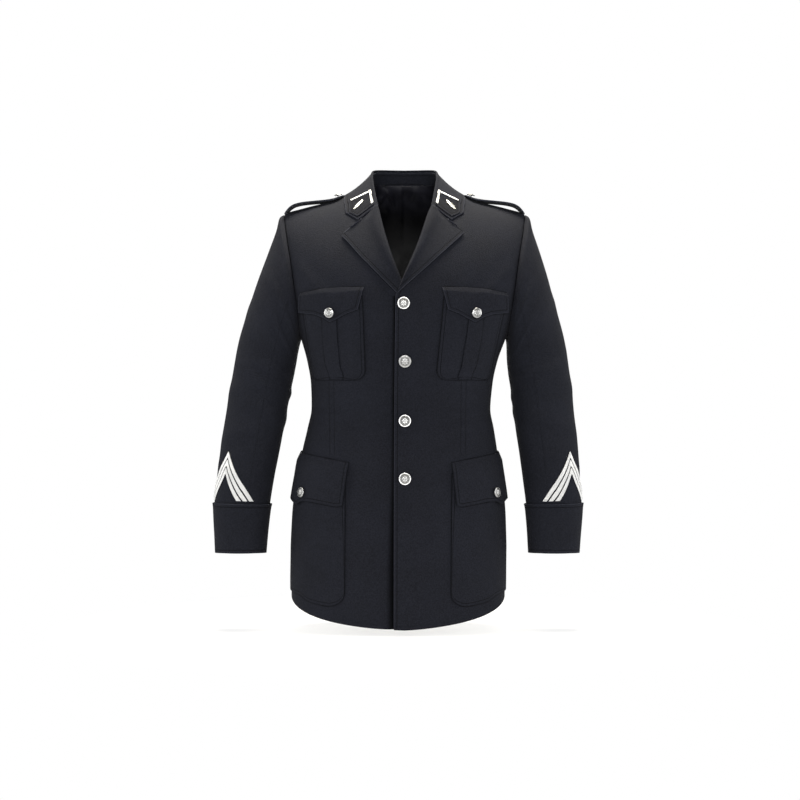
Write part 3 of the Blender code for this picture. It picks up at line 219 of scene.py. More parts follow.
STRAP = (
    # distance from the middle, height of the top face, half width, drop to its long edges
    (0.1085, 0.0045, 0.0030, 0.0002), (0.1120, 0.0043, 0.0130, 0.0012), (0.1190, 0.0022, 0.0200, 0.0028),
    (0.1290, -0.0012, 0.0222, 0.0032), (0.1450, -0.0040, 0.0224, 0.0026), (0.1614, -0.0058, 0.0226, 0.0020),
    (0.1847, -0.0085, 0.0228, 0.0016), (0.1986, -0.0116, 0.0229, 0.0016), (0.2078, -0.0162, 0.0230, 0.0020),
    (0.2160, -0.0245, 0.0230, 0.0030), (0.2185, -0.0285, 0.0230, 0.0034),
)
STRIPE_APEX, STRIPE_HEIGHT, STRIPE_STEP = -0.4619, 0.0108, 0.0146
STRIPE_AXIS, STRIPE_SPREAD, STRIPE_FALL, STRIPE_BEND = 0.144, 0.178, 0.0895, 0.82

# Soft folds
TRUNK_FOLDS = (
    # from and to: angle round the trunk from the middle front, height; half width, rise
    (34, -0.200, 60, -0.120, 0.0120, 0.0030), (-34, -0.200, -60, -0.120, 0.0120, 0.0030),
    (22, -0.345, 62, -0.372, 0.0075, 0.0022), (-20, -0.350, -64, -0.378, 0.0075, 0.0024),
    (30, -0.395, 75, -0.385, 0.0080, 0.0020), (-34, -0.398, -78, -0.390, 0.0080, 0.0020),
    (12, -0.440, 44, -0.405, 0.0090, 0.0018), (-14, -0.445, -46, -0.410, 0.0090, 0.0018),
    (26, -0.250, 30, -0.325, 0.0100, 0.0020), (-26, -0.255, -31, -0.330, 0.0100, 0.0018),
    (70, -0.420, 76, -0.700, 0.0200, 0.0040), (-70, -0.420, -76, -0.700, 0.0200, 0.0040),
    (20, -0.480, 17, -0.740, 0.0150, 0.0022), (-24, -0.470, -22, -0.740, 0.0150, 0.0022),
    (120, -0.400, 128, -0.700, 0.0250, 0.0060), (-120, -0.400, -128, -0.700, 0.0250, 0.0060),
    (150, -0.380, 158, -0.690, 0.0220, 0.0050), (-150, -0.390, -157, -0.690, 0.0220, 0.0050),
    (115, -0.350, 165, -0.372, 0.0090, 0.0028), (-113, -0.352, -168, -0.380, 0.0090, 0.0028),
    (125, -0.398, 170, -0.392, 0.0090, 0.0022), (-123, -0.402, -165, -0.398, 0.0090, 0.0022),
    (120, -0.250, 150, -0.140, 0.0160, 0.0036), (-120, -0.250, -150, -0.140, 0.0160, 0.0036),
)
SLEEVE_FOLDS = (
    # share round the sleeve, row down it, slant, half width round and down, rise
    (0.24, 3.2, -3.0, 0.13, 0.30, 0.0030), (0.30, 4.3, 2.2, 0.12, 0.26, 0.0026),
    (0.10, 5.3, 2.8, 0.12, 0.30, 0.0026), (0.30, 6.2, -2.4, 0.13, 0.25, 0.0032),
    (0.22, 6.9, 2.6, 0.12, 0.24, 0.0030), (0.08, 7.5, -2.0, 0.12, 0.28, 0.0026),
    (0.28, 7.8, 1.6, 0.14, 0.24, 0.0030), (0.18, 8.6, -1.8, 0.13, 0.26, 0.0026),
    (0.33, 9.2, 1.4, 0.11, 0.24, 0.0022), (0.12, 9.9, 1.2, 0.12, 0.30, 0.0018),
    (0.80, 3.8, 2.4, 0.14, 0.30, 0.0030), (0.78, 6.6, -2.0, 0.14, 0.28, 0.0030),
    (0.72, 7.4, 2.0, 0.14, 0.26, 0.0034), (0.82, 8.3, -1.6, 0.14, 0.28, 0.0028),
    (0.50, 7.0, 0.0, 0.12, 0.26, 0.0030), (0.50, 8.0, 0.0, 0.12, 0.26, 0.0026),
)
DARTS = {
    # top and bottom places of each dart line, distance from the middle and height
    "left": ((0.1000, -0.3310, 0.0990, -0.4740), (0.1090, -0.3310, 0.1075, -0.4700)),
    "right": ((0.1255, -0.3310, 0.1240, -0.4740), (0.1345, -0.3310, 0.1320, -0.4700)),
}

# The camera and the stage
CAMERA_PLACE = (-0.0082, -3.5, -0.3695)
PHOTO_WIDTH = 1.456
SENSOR = 36.0


class TunicCloth(bpy.types.PropertyGroup):
    """The tunic's own cloth."""
    colour: FloatVectorProperty(
        name="Cloth colour", description="Body colour of the wool", subtype="COLOR", size=3,
        min=0.0, max=1.0, default=(0.0096, 0.0103, 0.0140))
    lining_colour: FloatVectorProperty(
        name="Lining colour", description="Colour of the satin lining", subtype="COLOR", size=3,
        min=0.0, max=1.0, default=(0.0075, 0.0075, 0.0105))
    rib: FloatProperty(
        name="Twill rib", description="Distance between the ribs of the twill", unit="LENGTH",
        min=0.0002, max=0.004, default=0.0010)
    folds: FloatProperty(
        name="Folds", description="How deep the soft folds are, as a share", min=0.0, max=3.0, default=1.0)
    rounding: FloatProperty(
        name="Edge rounding", description="Radius of the cloth's pressed edges", unit="LENGTH",
        min=0.0, max=0.001, default=0.0006)


class TunicTrim(bpy.types.PropertyGroup):
    """Buttons, braid and collar patches."""
    braid_colour: FloatVectorProperty(
        name="Braid colour", description="Colour of the white braid", subtype="COLOR", size=3,
        min=0.0, max=1.0, default=(0.78, 0.78, 0.77))
    metal_colour: FloatVectorProperty(
        name="Metal colour", description="Colour of the silvered metal", subtype="COLOR", size=3,
        min=0.0, max=1.0, default=(0.47, 0.47, 0.46))
    front_button: FloatProperty(
        name="Front button", description="Width of a front button", unit="LENGTH",
        min=0.01, max=0.04, default=0.0218)
    pocket_button: FloatProperty(
        name="Pocket button", description="Width of a pocket button", unit="LENGTH",
        min=0.01, max=0.03, default=0.0180)
    strap_button: FloatProperty(
        name="Strap button", description="Width of a shoulder strap button", unit="LENGTH",
        min=0.01, max=0.03, default=0.0155)
    petals: IntProperty(
        name="Petals", description="Petals of the rosette on each button", min=3, max=24, default=8)


class TunicStage(bpy.types.PropertyGroup):
    """The floor, the light and the pale surroundings."""
    floor_gap: FloatProperty(
        name="Floor gap", description="Distance from the hem down to the floor", unit="LENGTH",
        min=0.0, max=1.0, default=0.010)
    surroundings: FloatProperty(
        name="Surroundings", description="Strength of the light from all round", min=0.0, max=5.0, default=0.13)
    top_light: FloatProperty(
        name="Top light", description="Power of the light above", unit="POWER", min=0.0, max=500.0, default=110.0)
    side_light: FloatProperty(
        name="Side lights", description="Power of each light at the side", unit="POWER",
        min=0.0, max=500.0, default=24.0)
    front_light: FloatProperty(
        name="Front light", description="Power of the light in front", unit="POWER",
        min=0.0, max=500.0, default=82.0)


# Curves and surfaces. All of them take arrays.
def smooth(table, t):
    """Smooth curves through the rows of a table, by its first column."""
    table = np.asarray(table, float)
    keys, values = table[:, 0], table[:, 1:]
    t = np.clip(np.asarray(t, float), keys[0], keys[-1])
    steps = np.diff(keys)
    slopes = np.diff(values, axis=0) / steps[:, None]
    before = np.vstack([slopes[:1], slopes])
    after = np.vstack([slopes, slopes[-1:]])
    total = np.where(before + after == 0, 1.0, before + after)
    tangents = np.where(before * after > 0, 2 * before * after / total, 0.0)
    i = np.clip(np.searchsorted(keys, t) - 1, 0, len(keys) - 2)
    h = steps[i][..., None]
    f = ((t - keys[i]) / steps[i])[..., None]
    return ((2 * f**3 - 3 * f**2 + 1) * values[i] + (f**3 - 2 * f**2 + f) * h * tangents[i]
            + (3 * f**2 - 2 * f**3) * values[i + 1] + (f**3 - f**2) * h * tangents[i + 1])


def height_of(table, t):
    """The second column of a table of two, as a smooth curve."""
    return smooth(table, t)[..., 0]


def straight(table, t):
    """Straight-edged lines through the rows of a table, by its first column."""
    table = np.asarray(table, float)
    return [np.interp(t, table[:, 0], table[:, k]) for k in range(1, table.shape[1])]


def stacked(x, y, z):
    return np.stack(np.broadcast_arrays(x, y, z), axis=-1).astype(float)


def sections(z):
    return np.moveaxis(smooth(TRUNK, z), -1, 0)


def bow(x, half):
    """How far the section reaches out at a distance from the middle, as a share."""
    return np.maximum(0.0, 1 - np.abs(x / half)**SECTION_POWER)**(1 / SECTION_POWER)


def drifted(x, z):
    half, _, _, drift = sections(z)
    return x + drift * (1 - (1 - np.minimum(1.0, np.abs(x / half)))**3)


def front_face(side, x, z):
    half, front, _, _ = sections(z)
    top = height_of(SHOULDER, np.abs(x))
    s = np.clip((z + 0.20) / (top + 0.20), 0.0, 1.0)
    y = RIDGE_Y - 0.0002 - (RIDGE_Y + front * bow(x, half)) * (1 - s**2)**(1 / 1.6)
    return stacked(drifted(side * x, z), y, z)


def back_face(side, x, z):
    half, _, back, _ = sections(z)
    top = height_of(BACK_TOP, np.abs(x))
    s = np.clip((z + 0.14) / (top + 0.14), 0.0, 1.0)
    y = RIDGE_Y + 0.0002 + (back * bow(x, half) - RIDGE_Y) * (1 - s**2.4)**0.5
    return stacked(drifted(side * x, z), y, z)


def section_x(angle, half):
    s = np.sin(np.radians(angle))
    return half * np.copysign(np.abs(s)**(2 / SECTION_POWER), s)


def trunk(side, angle, z):
    """The trunk below the armholes, by the angle from the middle front."""
    half, front, back, _ = sections(z)
    c = np.cos(np.radians(angle))
    e = np.abs(c)**(2 / SECTION_POWER)
    return stacked(drifted(side * section_x(angle, half), z), np.where(c > 0, -front * e, back * e), z)


def angle_of(x, z):
    half = sections(z)[0]
    share = np.minimum(1.0, np.abs(x) / half)
    return np.copysign(np.degrees(np.arcsin(share**(SECTION_POWER / 2))), x)


def girth_table():
    """The angle at each height and length along the body from the middle front."""
    heights = np.linspace(-0.80, -0.15, 131)
    girths = np.linspace(0.0, 0.42, 211)
    angles = np.linspace(0.0, 150.0, 301)
    half, front, back, _ = sections(heights)
    e = np.abs(np.cos(np.radians(angles)))**(2 / SECTION_POWER)
    x = half[:, None] * np.sin(np.radians(angles))**(2 / SECTION_POWER)
    y = np.where(angles < 90, -front[:, None] * e, back[:, None] * e)
    run = np.cumsum(np.hypot(np.diff(x, axis=1), np.diff(y, axis=1)), axis=1)
    run = np.hstack([np.zeros((len(heights), 1)), run])
    return heights, girths, np.array([np.interp(girths, row, angles) for row in run])


HEIGHTS, GIRTHS, ANGLES = girth_table()


def by_girth(side, girth, z):
    """The trunk by the length along the body from the middle of the front."""
    a = np.clip((z - HEIGHTS[0]) / (HEIGHTS[1] - HEIGHTS[0]), 0, len(HEIGHTS) - 1.001)
    b = np.clip(girth / GIRTHS[1], 0, len(GIRTHS) - 1.001)
    i, j = a.astype(int), b.astype(int)
    a, b = a - i, b - j
    angle = ((ANGLES[i, j] * (1 - b) + ANGLES[i, j + 1] * b) * (1 - a)
             + (ANGLES[i + 1, j] * (1 - b) + ANGLES[i + 1, j + 1] * b) * a)
    low = trunk(side, angle, z)
    high = front_face(side, section_x(angle, sections(z)[0]), z)
    return np.where((z > -0.20)[..., None] & (low[..., 1:2] < 0), high, low)


def fold_rise(run, down, folds):
    """The rise of straight soft folds at places on a flattened surface, in metres."""
    rise = np.zeros(np.broadcast(run, down).shape)
    for a0, z0, a1, z1, wide, high in folds:
        way = np.array([a1 - a0, z1 - z0])
        length = np.hypot(*way)
        along = ((run - a0) * way[0] + (down - z0) * way[1]) / length**2
        off = ((run - a0) * way[1] - (down - z0) * way[0]) / length
        ends = np.clip(along * 3.0 + 0.3, 0, 1) * np.clip((1 - along) * 3.0 + 0.3, 0, 1)
        rise = rise + high * ends**2 * (np.exp(-(off / wide)**2) - 0.55 * np.exp(-(off / wide / 1.9)**2))
    return rise


DEGREE = 0.0031        # the length along the body for one degree round it


def drape(points):
    """The trunk's surface with its soft folds."""
    x, y, z = np.moveaxis(points, -1, 0)
    half, front, back, _ = sections(z)
    depth = np.where(y < 0, front, back)
    angle = np.degrees(np.arctan2(x / half, -y / depth))
    way = stacked(np.copysign(np.abs(x / half)**1.4, x) / half,
                  np.copysign(np.abs(y / depth)**1.4, y) / depth, 0.0 * z)
    way /= np.maximum(np.linalg.norm(way, axis=-1, keepdims=True), 1e-9)
    folds = [(a0 * DEGREE, z0, a1 * DEGREE, z1, w, h) for a0, z0, a1, z1, w, h in TRUNK_FOLDS]
    rise = fold_rise(angle * DEGREE, z, folds) * bpy.context.scene.tunic_cloth.folds
    return points + way * rise[..., None]


# Making a piece of cloth
def facing(points, outward):
    """Unit normals of a grid of places, on the side that outward points to."""
    n = np.cross(np.gradient(points, axis=1), np.gradient(points, axis=0))
    length = np.linalg.norm(n, axis=2, keepdims=True)
    hint = outward / np.maximum(np.linalg.norm(outward, axis=2, keepdims=True), 1e-9)
    n = np.where(length > 1e-13, n / np.maximum(length, 1e-13), hint)
    return n * np.where((n * outward).sum(axis=2, keepdims=True) > 0, 1.0, -1.0)


def raised(points, outward, lift):
    return points + facing(points, outward) * np.asarray(lift)[..., None]


def from_chest(points):
    x, y, z = np.moveaxis(points, -1, 0)
    return stacked(x * 0.3, y - RIDGE_Y, np.where(z > -0.1, 0.06, 0.0))


def from_neck(points):
    x, y, z = np.moveaxis(points, -1, 0)
    return stacked(x, y - 0.005, np.full_like(z, 0.02))


def lengths(points):
    """How far each place of a grid is from the start and end of its row and of its column."""
    def runs(axis):
        step = np.linalg.norm(np.diff(points, axis=axis), axis=2)
        start = np.insert(np.cumsum(step, axis=axis), 0, 0.0, axis=axis)
        total = np.take(start, [-1], axis=axis)
        return start, total - start
    return runs(1) + runs(0)


def stitched_edges(points, edges):
    """The distance to the nearest stitched edge, and the length along it."""
    left, right, low, high = lengths(points)
    far = np.full(left.shape, 0.1)
    choices = {"left": (left, low), "right": (right, low), "low": (low, left), "high": (high, left)}
    distance, run = far, np.zeros_like(far)
    for edge in edges.split():
        near, along = choices[edge]
        run = np.where(near < distance, along, run)
        distance = np.minimum(near, distance)
    return distance, run


def attribute(mesh, name, values):
    kind = "FLOAT" if values.ndim == 1 else "FLOAT_VECTOR"
    made = mesh.attributes.new(name, kind, "POINT")
    made.data.foreach_set("value" if values.ndim == 1 else "vector", values.astype(np.float32).ravel())


def cloth(name, points, outward, mat, thick=CLOTH, edges="", keep=None, extra=None,
          rim=1.0):
    """A sheet of cloth whose outer face is the grid of points. rim: 1 for a painted highlight along its stitched
    edges, -1 for painted shade there.
    """
    rows, columns = points.shape[:2]
    bm = bmesh.new()
    bmesh.ops.create_grid(bm, x_segments=columns - 1, y_segments=rows - 1, size=1.0)

    def cell_of(vert):
        return (int(round((vert.co.x + 1) / 2 * (columns - 1))), int(round((vert.co.y + 1) / 2 * (rows - 1))))

    if keep is not None:
        gone = [f for f in bm.faces
                if not keep(min(cell_of(v)[0] for v in f.verts), min(cell_of(v)[1] for v in f.verts))]
        bmesh.ops.delete(bm, geom=gone, context="FACES")
    n = np.cross(np.gradient(points, axis=1), np.gradient(points, axis=0))
    if (n * outward).sum() < 0:
        bmesh.ops.reverse_faces(bm, faces=list(bm.faces))
    mesh = bpy.data.meshes.new(name)
    bm.to_mesh(mesh)
    bm.free()
    flat = np.zeros(len(mesh.vertices) * 3, np.float32)
    mesh.vertices.foreach_get("co", flat)
    flat = flat.reshape(-1, 3)
    i = np.rint((flat[:, 0] + 1) / 2 * (columns - 1)).astype(int)
    j = np.rint((flat[:, 1] + 1) / 2 * (rows - 1)).astype(int)
    mesh.vertices.foreach_set("co", points[j, i].astype(np.float32).ravel())
    left, _, low, _ = lengths(points)
    corners = np.zeros(len(mesh.loops), np.int32)
    mesh.loops.foreach_get("vertex_index", corners)
    uv = np.stack([left[j, i], low[j, i]], axis=1)[corners]
    mesh.uv_layers.new(name="UVMap").data.foreach_set("uv", uv.astype(np.float32).ravel())
    distance, run = stitched_edges(points, edges)
    attribute(mesh, "edge_distance", distance[j, i])
    attribute(mesh, "edge_run", run[j, i])
    attribute(mesh, "edge_painted_light", np.full(len(i), rim))
    attribute(mesh, "lap_distance", lap_distance(name, points)[j, i])
    for label, values in (extra or {}).items():
        attribute(mesh, label, values[j, i])
    mesh.update()
    mesh.shade_smooth()
    body = bpy.data.objects.new(name, mesh)
    bpy.context.scene.collection.objects.link(body)
    mesh.materials.append(mat)
    wall = body.modifiers.new("thickness", "SOLIDIFY")
    wall.thickness = thick
    wall.offset = -1.0
    edge = body.modifiers.new("pressed_edges", "BEVEL")
    edge.width = min(bpy.context.scene.tunic_cloth.rounding, thick * 0.3)
    edge.segments = 2
    edge.limit_method = "ANGLE"
    edge.angle_limit = math.radians(50)
    edge.harden_normals = False
    area = sheet_area(points, keep)
    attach(body, "root")
    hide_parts(name)
    return body


SIDE_STARTS = 0.030          # the trunk's side begins this far in front of its middle
LAP_LIGHT = 0.0007           # keeps the painted shadow beside a laid piece from full black


def unrolled(points):
    """Places on the trunk by the way round it, across the front and then back, and the height."""
    x, y, z = np.moveaxis(points, -1, 0)
    return np.stack([x + np.sign(x) * np.maximum(0.0, y + SIDE_STARTS), z], axis=-1)


def outline_of(points):
    """The outline of a grid, unrolled."""
    return unrolled(np.vstack([points[0], points[1:, -1], points[-1, ::-1], points[::-1, 0]]))


def lap_distance(name, points):
    """How far each place of a front or pocket is from the edges of the pieces laid on it, for the painted shadow
    beside them.
    """
    best = np.full(points.shape[:2], 0.1)
    rings = laps_on(name)
    if not rings:
        return best
    # On the right front: painted shade in the slit beside the left front's edge, wider towards the hem where the
    # two fronts part.
    if name == "front_right":
        x, _, z = np.moveaxis(points, -1, 0)
        parting = np.clip((-0.500 - z) / 0.16, 0.0, 1.0)
        off = np.maximum(0.0, drifted(FRONT_OVER + 0.0 * x, z) - x) / (2.3 + 2.0 * parting)
        best = np.where(z > ROLL["left"][0][0], 0.1, np.minimum(0.1, off))
    spots = unrolled(points)
    for ring in rings:
        a, way = ring, np.roll(ring, -1, axis=0) - ring
        near = ((spots > ring.min(axis=0) - 0.012) & (spots < ring.max(axis=0) + 0.012)).all(axis=-1)
        p = spots[near][:, None]
        share = ((p - a) * way).sum(axis=2) / np.maximum((way**2).sum(axis=1), 1e-14)
        off = np.linalg.norm(p - a - np.clip(share, 0.0, 1.0)[..., None] * way, axis=2).min(axis=1)
        best[near] = np.minimum(best[near], off + LAP_LIGHT)
    return best


LAPS = {}


def laps_on(name):
    """The outlines of the pieces laid on a piece."""
    kind, _, hand = name.rpartition("_")
    over = {
        "front": ("lapel_", "chest_pocket_", "chest_flap_", "hip_pocket_", "hip_flap_"),
        "chest_pocket": ("chest_flap_", "chest_pleat_"), "chest_pleat": ("chest_flap_",),
        "hip_pocket": ("hip_flap_",), "lapel": ("collar_",), "collar": ("collar_patch_",),
    }
    return [LAPS[label + hand] for label in over.get(kind, ()) if label + hand in LAPS]


def sheet_area(points, keep):
    a = points[1:, 1:] - points[:-1, :-1]
    b = points[1:, :-1] - points[:-1, 1:]
    cells = np.linalg.norm(np.cross(a, b), axis=2) / 2
    if keep is None:
        return float(cells.sum())
    return float(sum(cells[j, i] for j in range(cells.shape[0]) for i in range(cells.shape[1]) if keep(i, j)))


def mesh_of(columns, rows):
    """Two grids of shares from 0 to 1, across and along."""
    return np.meshgrid(np.asarray(columns, float), np.asarray(rows, float))


def even(count, low=0.0, high=1.0):
    return np.linspace(low, high, count)


def tight_ends(count, share=0.5):
    """Shares from 0 to 1 that lie closer together at both ends."""
    t = np.linspace(0.0, 1.0, count)
    return (1 - share) * t + share * (1 - np.cos(math.pi * t)) / 2


# Materials
def node_group(name, inputs, outputs):
    tree = bpy.data.node_groups.new(name, "ShaderNodeTree")
    for label, default in inputs:
        socket = tree.interface.new_socket(label, in_out="INPUT", socket_type="NodeSocketFloat")
        socket.default_value = default
    for label in outputs:
        tree.interface.new_socket(label, in_out="OUTPUT", socket_type="NodeSocketFloat")
    return tree, tree.nodes.new("NodeGroupInput").outputs, tree.nodes.new("NodeGroupOutput").inputs


def put(tree, value, socket):
    if isinstance(value, bpy.types.NodeSocket):
        tree.links.new(value, socket)
    else:
        socket.default_value = value


def math_node(tree, operation, *values, use_clamp=False):
    node = tree.nodes.new("ShaderNodeMath")
    node.operation = operation
    node.use_clamp = use_clamp
    for value, socket in zip(values, node.inputs):
        put(tree, value, socket)
    return node.outputs[0]


def ranged(tree, value, low, high, out_low=0.0, out_high=1.0):
    node = tree.nodes.new("ShaderNodeMapRange")
    node.interpolation_type = "SMOOTHSTEP"
    for given, label in ((value, "Value"), (low, "From Min"), (high, "From Max"),
                         (out_low, "To Min"), (out_high, "To Max")):
        put(tree, given, node.inputs[label])
    return node.outputs["Result"]


def noise(tree, scale, detail, roughness=0.55, source="Object"):
    place = tree.nodes.new("ShaderNodeTexCoord").outputs[source]
    node = tree.nodes.new("ShaderNodeTexNoise")
    put(tree, place, node.inputs["Vector"])
    put(tree, scale, node.inputs["Scale"])
    node.inputs["Detail"].default_value = detail
    node.inputs["Roughness"].default_value = roughness
    return node.outputs["Fac"]


def read(tree, name, output="Fac"):
    node = tree.nodes.new("ShaderNodeAttribute")
    node.attribute_name = name
    return node.outputs[output]


def twill_group():
    """Slanted ribs of a twill cloth, on the piece's own map."""
    tree, given, out = node_group("Twill weave", [("Rib", 0.001), ("Waver", 0.25)], ["Height", "Shade"])
    place = tree.nodes.new("ShaderNodeTexCoord").outputs["UV"]
    parts = tree.nodes.new("ShaderNodeSeparateXYZ")
    tree.links.new(place, parts.inputs[0])
    slant = math_node(tree, "MULTIPLY_ADD", parts.outputs["Y"], 0.62, parts.outputs["X"])
    waver = math_node(tree, "MULTIPLY", noise(tree, 260.0, 2.0), given["Waver"])
    turns = math_node(tree, "ADD", math_node(tree, "DIVIDE", slant, given["Rib"]), waver)
    rib = math_node(tree, "MULTIPLY_ADD", math_node(tree, "SINE", math_node(tree, "MULTIPLY", turns, math.tau)),
                    0.5, 0.5)
    picks = math_node(tree, "DIVIDE", parts.outputs["Y"], math_node(tree, "MULTIPLY", given["Rib"], 0.55))
    pick = math_node(tree, "MULTIPLY_ADD", math_node(tree, "SINE", math_node(tree, "MULTIPLY", picks, math.tau)),
                     0.5, 0.5)
    height = math_node(tree, "MULTIPLY_ADD", pick, 0.35, rib)
    put(tree, height, out["Height"])
    put(tree, math_node(tree, "MULTIPLY", height, 0.74), out["Shade"])
    return tree


def nap_group():
    """Uneven nap in soft clouds, and short pale fibres that lie on the cloth."""
    tree, given, out = node_group(
        "Nap", [("Cloud Size", 14.0), ("Grain Size", 420.0), ("Fibre Size", 900.0)],
        ["Cloud", "Grain", "Fibre", "Height"])
    cloud = ranged(tree, noise(tree, given["Cloud Size"], 4.0, 0.6), 0.32, 0.68)
    put(tree, ranged(tree, noise(tree, given["Grain Size"], 3.0, 0.65), 0.34, 0.66), out["Grain"])
    fine = noise(tree, given["Fibre Size"], 3.0, 0.7)
    put(tree, cloud, out["Cloud"])
    put(tree, ranged(tree, fine, 0.60, 0.78), out["Fibre"])
    put(tree, fine, out["Height"])
    return tree


def edge_group():
    """A pressed, stitched edge: the rim, the stitched groove and its threads."""
    tree, given, out = node_group(
        "Stitched edge", [("Inset", 0.0057), ("Stitch", 0.0028), ("Groove", 0.0010), ("Rim", 0.0016)],
        ["Height", "Thread", "Rim", "Line"])
    distance = read(tree, "edge_distance")
    off = math_node(tree, "ABSOLUTE", math_node(tree, "SUBTRACT", distance, given["Inset"]))
    groove = ranged(tree, off, 0.0, given["Groove"], 1.0, 0.0)
    dash = math_node(tree, "FRACT", math_node(tree, "DIVIDE", read(tree, "edge_run"), given["Stitch"]))
    thread = math_node(tree, "MULTIPLY", groove, math_node(tree, "LESS_THAN", dash, 0.66))
    rim = ranged(tree, distance, 0.0, given["Rim"], 1.0, 0.0)
    height = math_node(tree, "SUBTRACT", math_node(tree, "MULTIPLY", thread, 0.35), groove)
    put(tree, height, out["Height"])
    put(tree, thread, out["Thread"])
    put(tree, groove, out["Line"])
    put(tree, rim, out["Rim"])
    return tree


def lap_group():
    """The painted shadow on the cloth just outside a piece that is sewn on it."""
    tree, given, out = node_group("Lapped", [("Reach", 0.0034)], ["Shade"])
    put(tree, ranged(tree, read(tree, "lap_distance"), 0.0, given["Reach"], 1.0, 0.0), out["Shade"])
    return tree


def dart_group():
    """Two sewn dart lines down a front."""
    tree, given, out = node_group("Dart", [("Width", 0.0011)], ["Line"])
    parts = tree.nodes.new("ShaderNodeSeparateXYZ")
    put(tree, read(tree, "dart", "Vector"), parts.inputs[0])
    lines = [ranged(tree, math_node(tree, "ABSOLUTE", parts.outputs[axis]), 0.0, given["Width"], 1.0, 0.0)
             for axis in ("X", "Y")]
    both = math_node(tree, "MAXIMUM", *lines)
    put(tree, math_node(tree, "MULTIPLY", both, parts.outputs["Z"]), out["Line"])
    return tree


def tarnish_group():
    """Fine scratches and dull patches on metal."""
    tree, given, out = node_group("Tarnish", [("Patch Size", 160.0)], ["Dull", "Scratch"])
    put(tree, ranged(tree, noise(tree, given["Patch Size"], 4.0, 0.6), 0.40, 0.72), out["Dull"])
    put(tree, noise(tree, 2600.0, 2.0, 0.7), out["Scratch"])
    return tree


def use(tree, name, **values):
    node = tree.nodes.new("ShaderNodeGroup")
    node.node_tree = bpy.data.node_groups[name]
    for label, value in values.items():
        put(tree, value, node.inputs[label.replace("_", " ")])
    return node.outputs


def shader_of(name):
    mat = bpy.data.materials.new(name)
    mat.use_nodes = True
    tree = mat.node_tree
    return mat, tree, next(n for n in tree.nodes if n.type == "BSDF_PRINCIPLED")


def blend_colours(tree, factor, one, two):
    node = tree.nodes.new("ShaderNodeMix")
    node.data_type = "RGBA"
    put(tree, factor, node.inputs["Factor"])
    for value, socket in ((one, node.inputs[6]), (two, node.inputs[7])):
        put(tree, value if isinstance(value, bpy.types.NodeSocket) else (*value, 1.0), socket)
    return node.outputs[2]


def bump(tree, height, distance, strength=1.0, normal=None):
    node = tree.nodes.new("ShaderNodeBump")
    put(tree, height, node.inputs["Height"])
    node.inputs["Distance"].default_value = distance
    node.inputs["Strength"].default_value = strength
    if normal is not None:
        tree.links.new(normal, node.inputs["Normal"])
    return node.outputs["Normal"]


def scaled(colour, share):
    return tuple(min(1.0, c * share) for c in colour)


def wool_material(name, colour, rib, sheen=0.015, rim_highlight_share=2.6):
    """Close twill with a soft nap, with a painted highlight along its pale edges, and painted shade along its
    dark edges, in its stitched grooves and darts, and beside the pieces laid on it.
    """
    mat, tree, shader = shader_of(name)
    twill = use(tree, "Twill weave", Rib=rib)
    nap = use(tree, "Nap")
    edge = use(tree, "Stitched edge")
    dart = use(tree, "Dart")["Line"]
    tone = math_node(tree, "MULTIPLY_ADD", nap["Cloud"], 0.22, math_node(tree, "MULTIPLY", twill["Shade"], 0.4))
    tone = math_node(tree, "MULTIPLY_ADD", nap["Grain"], 0.45, tone)
    base = blend_colours(tree, tone, scaled(colour, 0.55), scaled(colour, 1.50))
    base = blend_colours(tree, math_node(tree, "MULTIPLY", nap["Fibre"], 0.35), base, scaled(colour, 3.6))
    # Painted highlight along the stitched edges of pieces made with pale edges, and painted shade along those
    # made with dark edges.
    tone = read(tree, "edge_painted_light")
    pale = math_node(tree, "MULTIPLY", edge["Rim"], math_node(tree, "MULTIPLY", tone, 0.80, use_clamp=True))
    dark = math_node(tree, "MULTIPLY", edge["Rim"], math_node(tree, "MULTIPLY", tone, -0.80, use_clamp=True))
    base = blend_colours(tree, pale, base, scaled(colour, rim_highlight_share))
    # Painted shade, darkening the cloth nearly to black: in the stitched grooves, along the darts, along dark
    # edges, and beside pieces laid on the cloth.
    painted_shade = math_node(tree, "MAXIMUM", math_node(tree, "MULTIPLY", edge["Line"], 0.80),
                     math_node(tree, "MULTIPLY", dart, 0.45))
    painted_shade = math_node(tree, "MAXIMUM", painted_shade, dark)
    painted_shade = math_node(tree, "MAXIMUM", painted_shade, math_node(tree, "MULTIPLY", use(tree, "Lapped")["Shade"], 0.95))
    base = blend_colours(tree, painted_shade, base, scaled(colour, 0.07))
    put(tree, base, shader.inputs["Base Color"])
    put(tree, ranged(tree, nap["Cloud"], 0.0, 1.0, 0.80, 0.92), shader.inputs["Roughness"])
    normal = bump(tree, twill["Height"], 0.00010, 0.55)
    normal = bump(tree, nap["Height"], 0.00030, 0.8, normal)
    normal = bump(tree, nap["Grain"], 0.0004, 0.6, normal)
    normal = bump(tree, edge["Height"], 0.0006, 1.0, normal)
    normal = bump(tree, math_node(tree, "MULTIPLY", dart, -1.0), 0.0006, 1.0, normal)
    tree.links.new(normal, shader.inputs["Normal"])
    shader.inputs["Sheen Weight"].default_value = sheen
    shader.inputs["Sheen Roughness"].default_value = 0.5
    shader.inputs["Sheen Tint"].default_value = (0.9, 0.9, 0.95, 1.0)
    shader.inputs["Specular IOR Level"].default_value = 0.05
    return mat


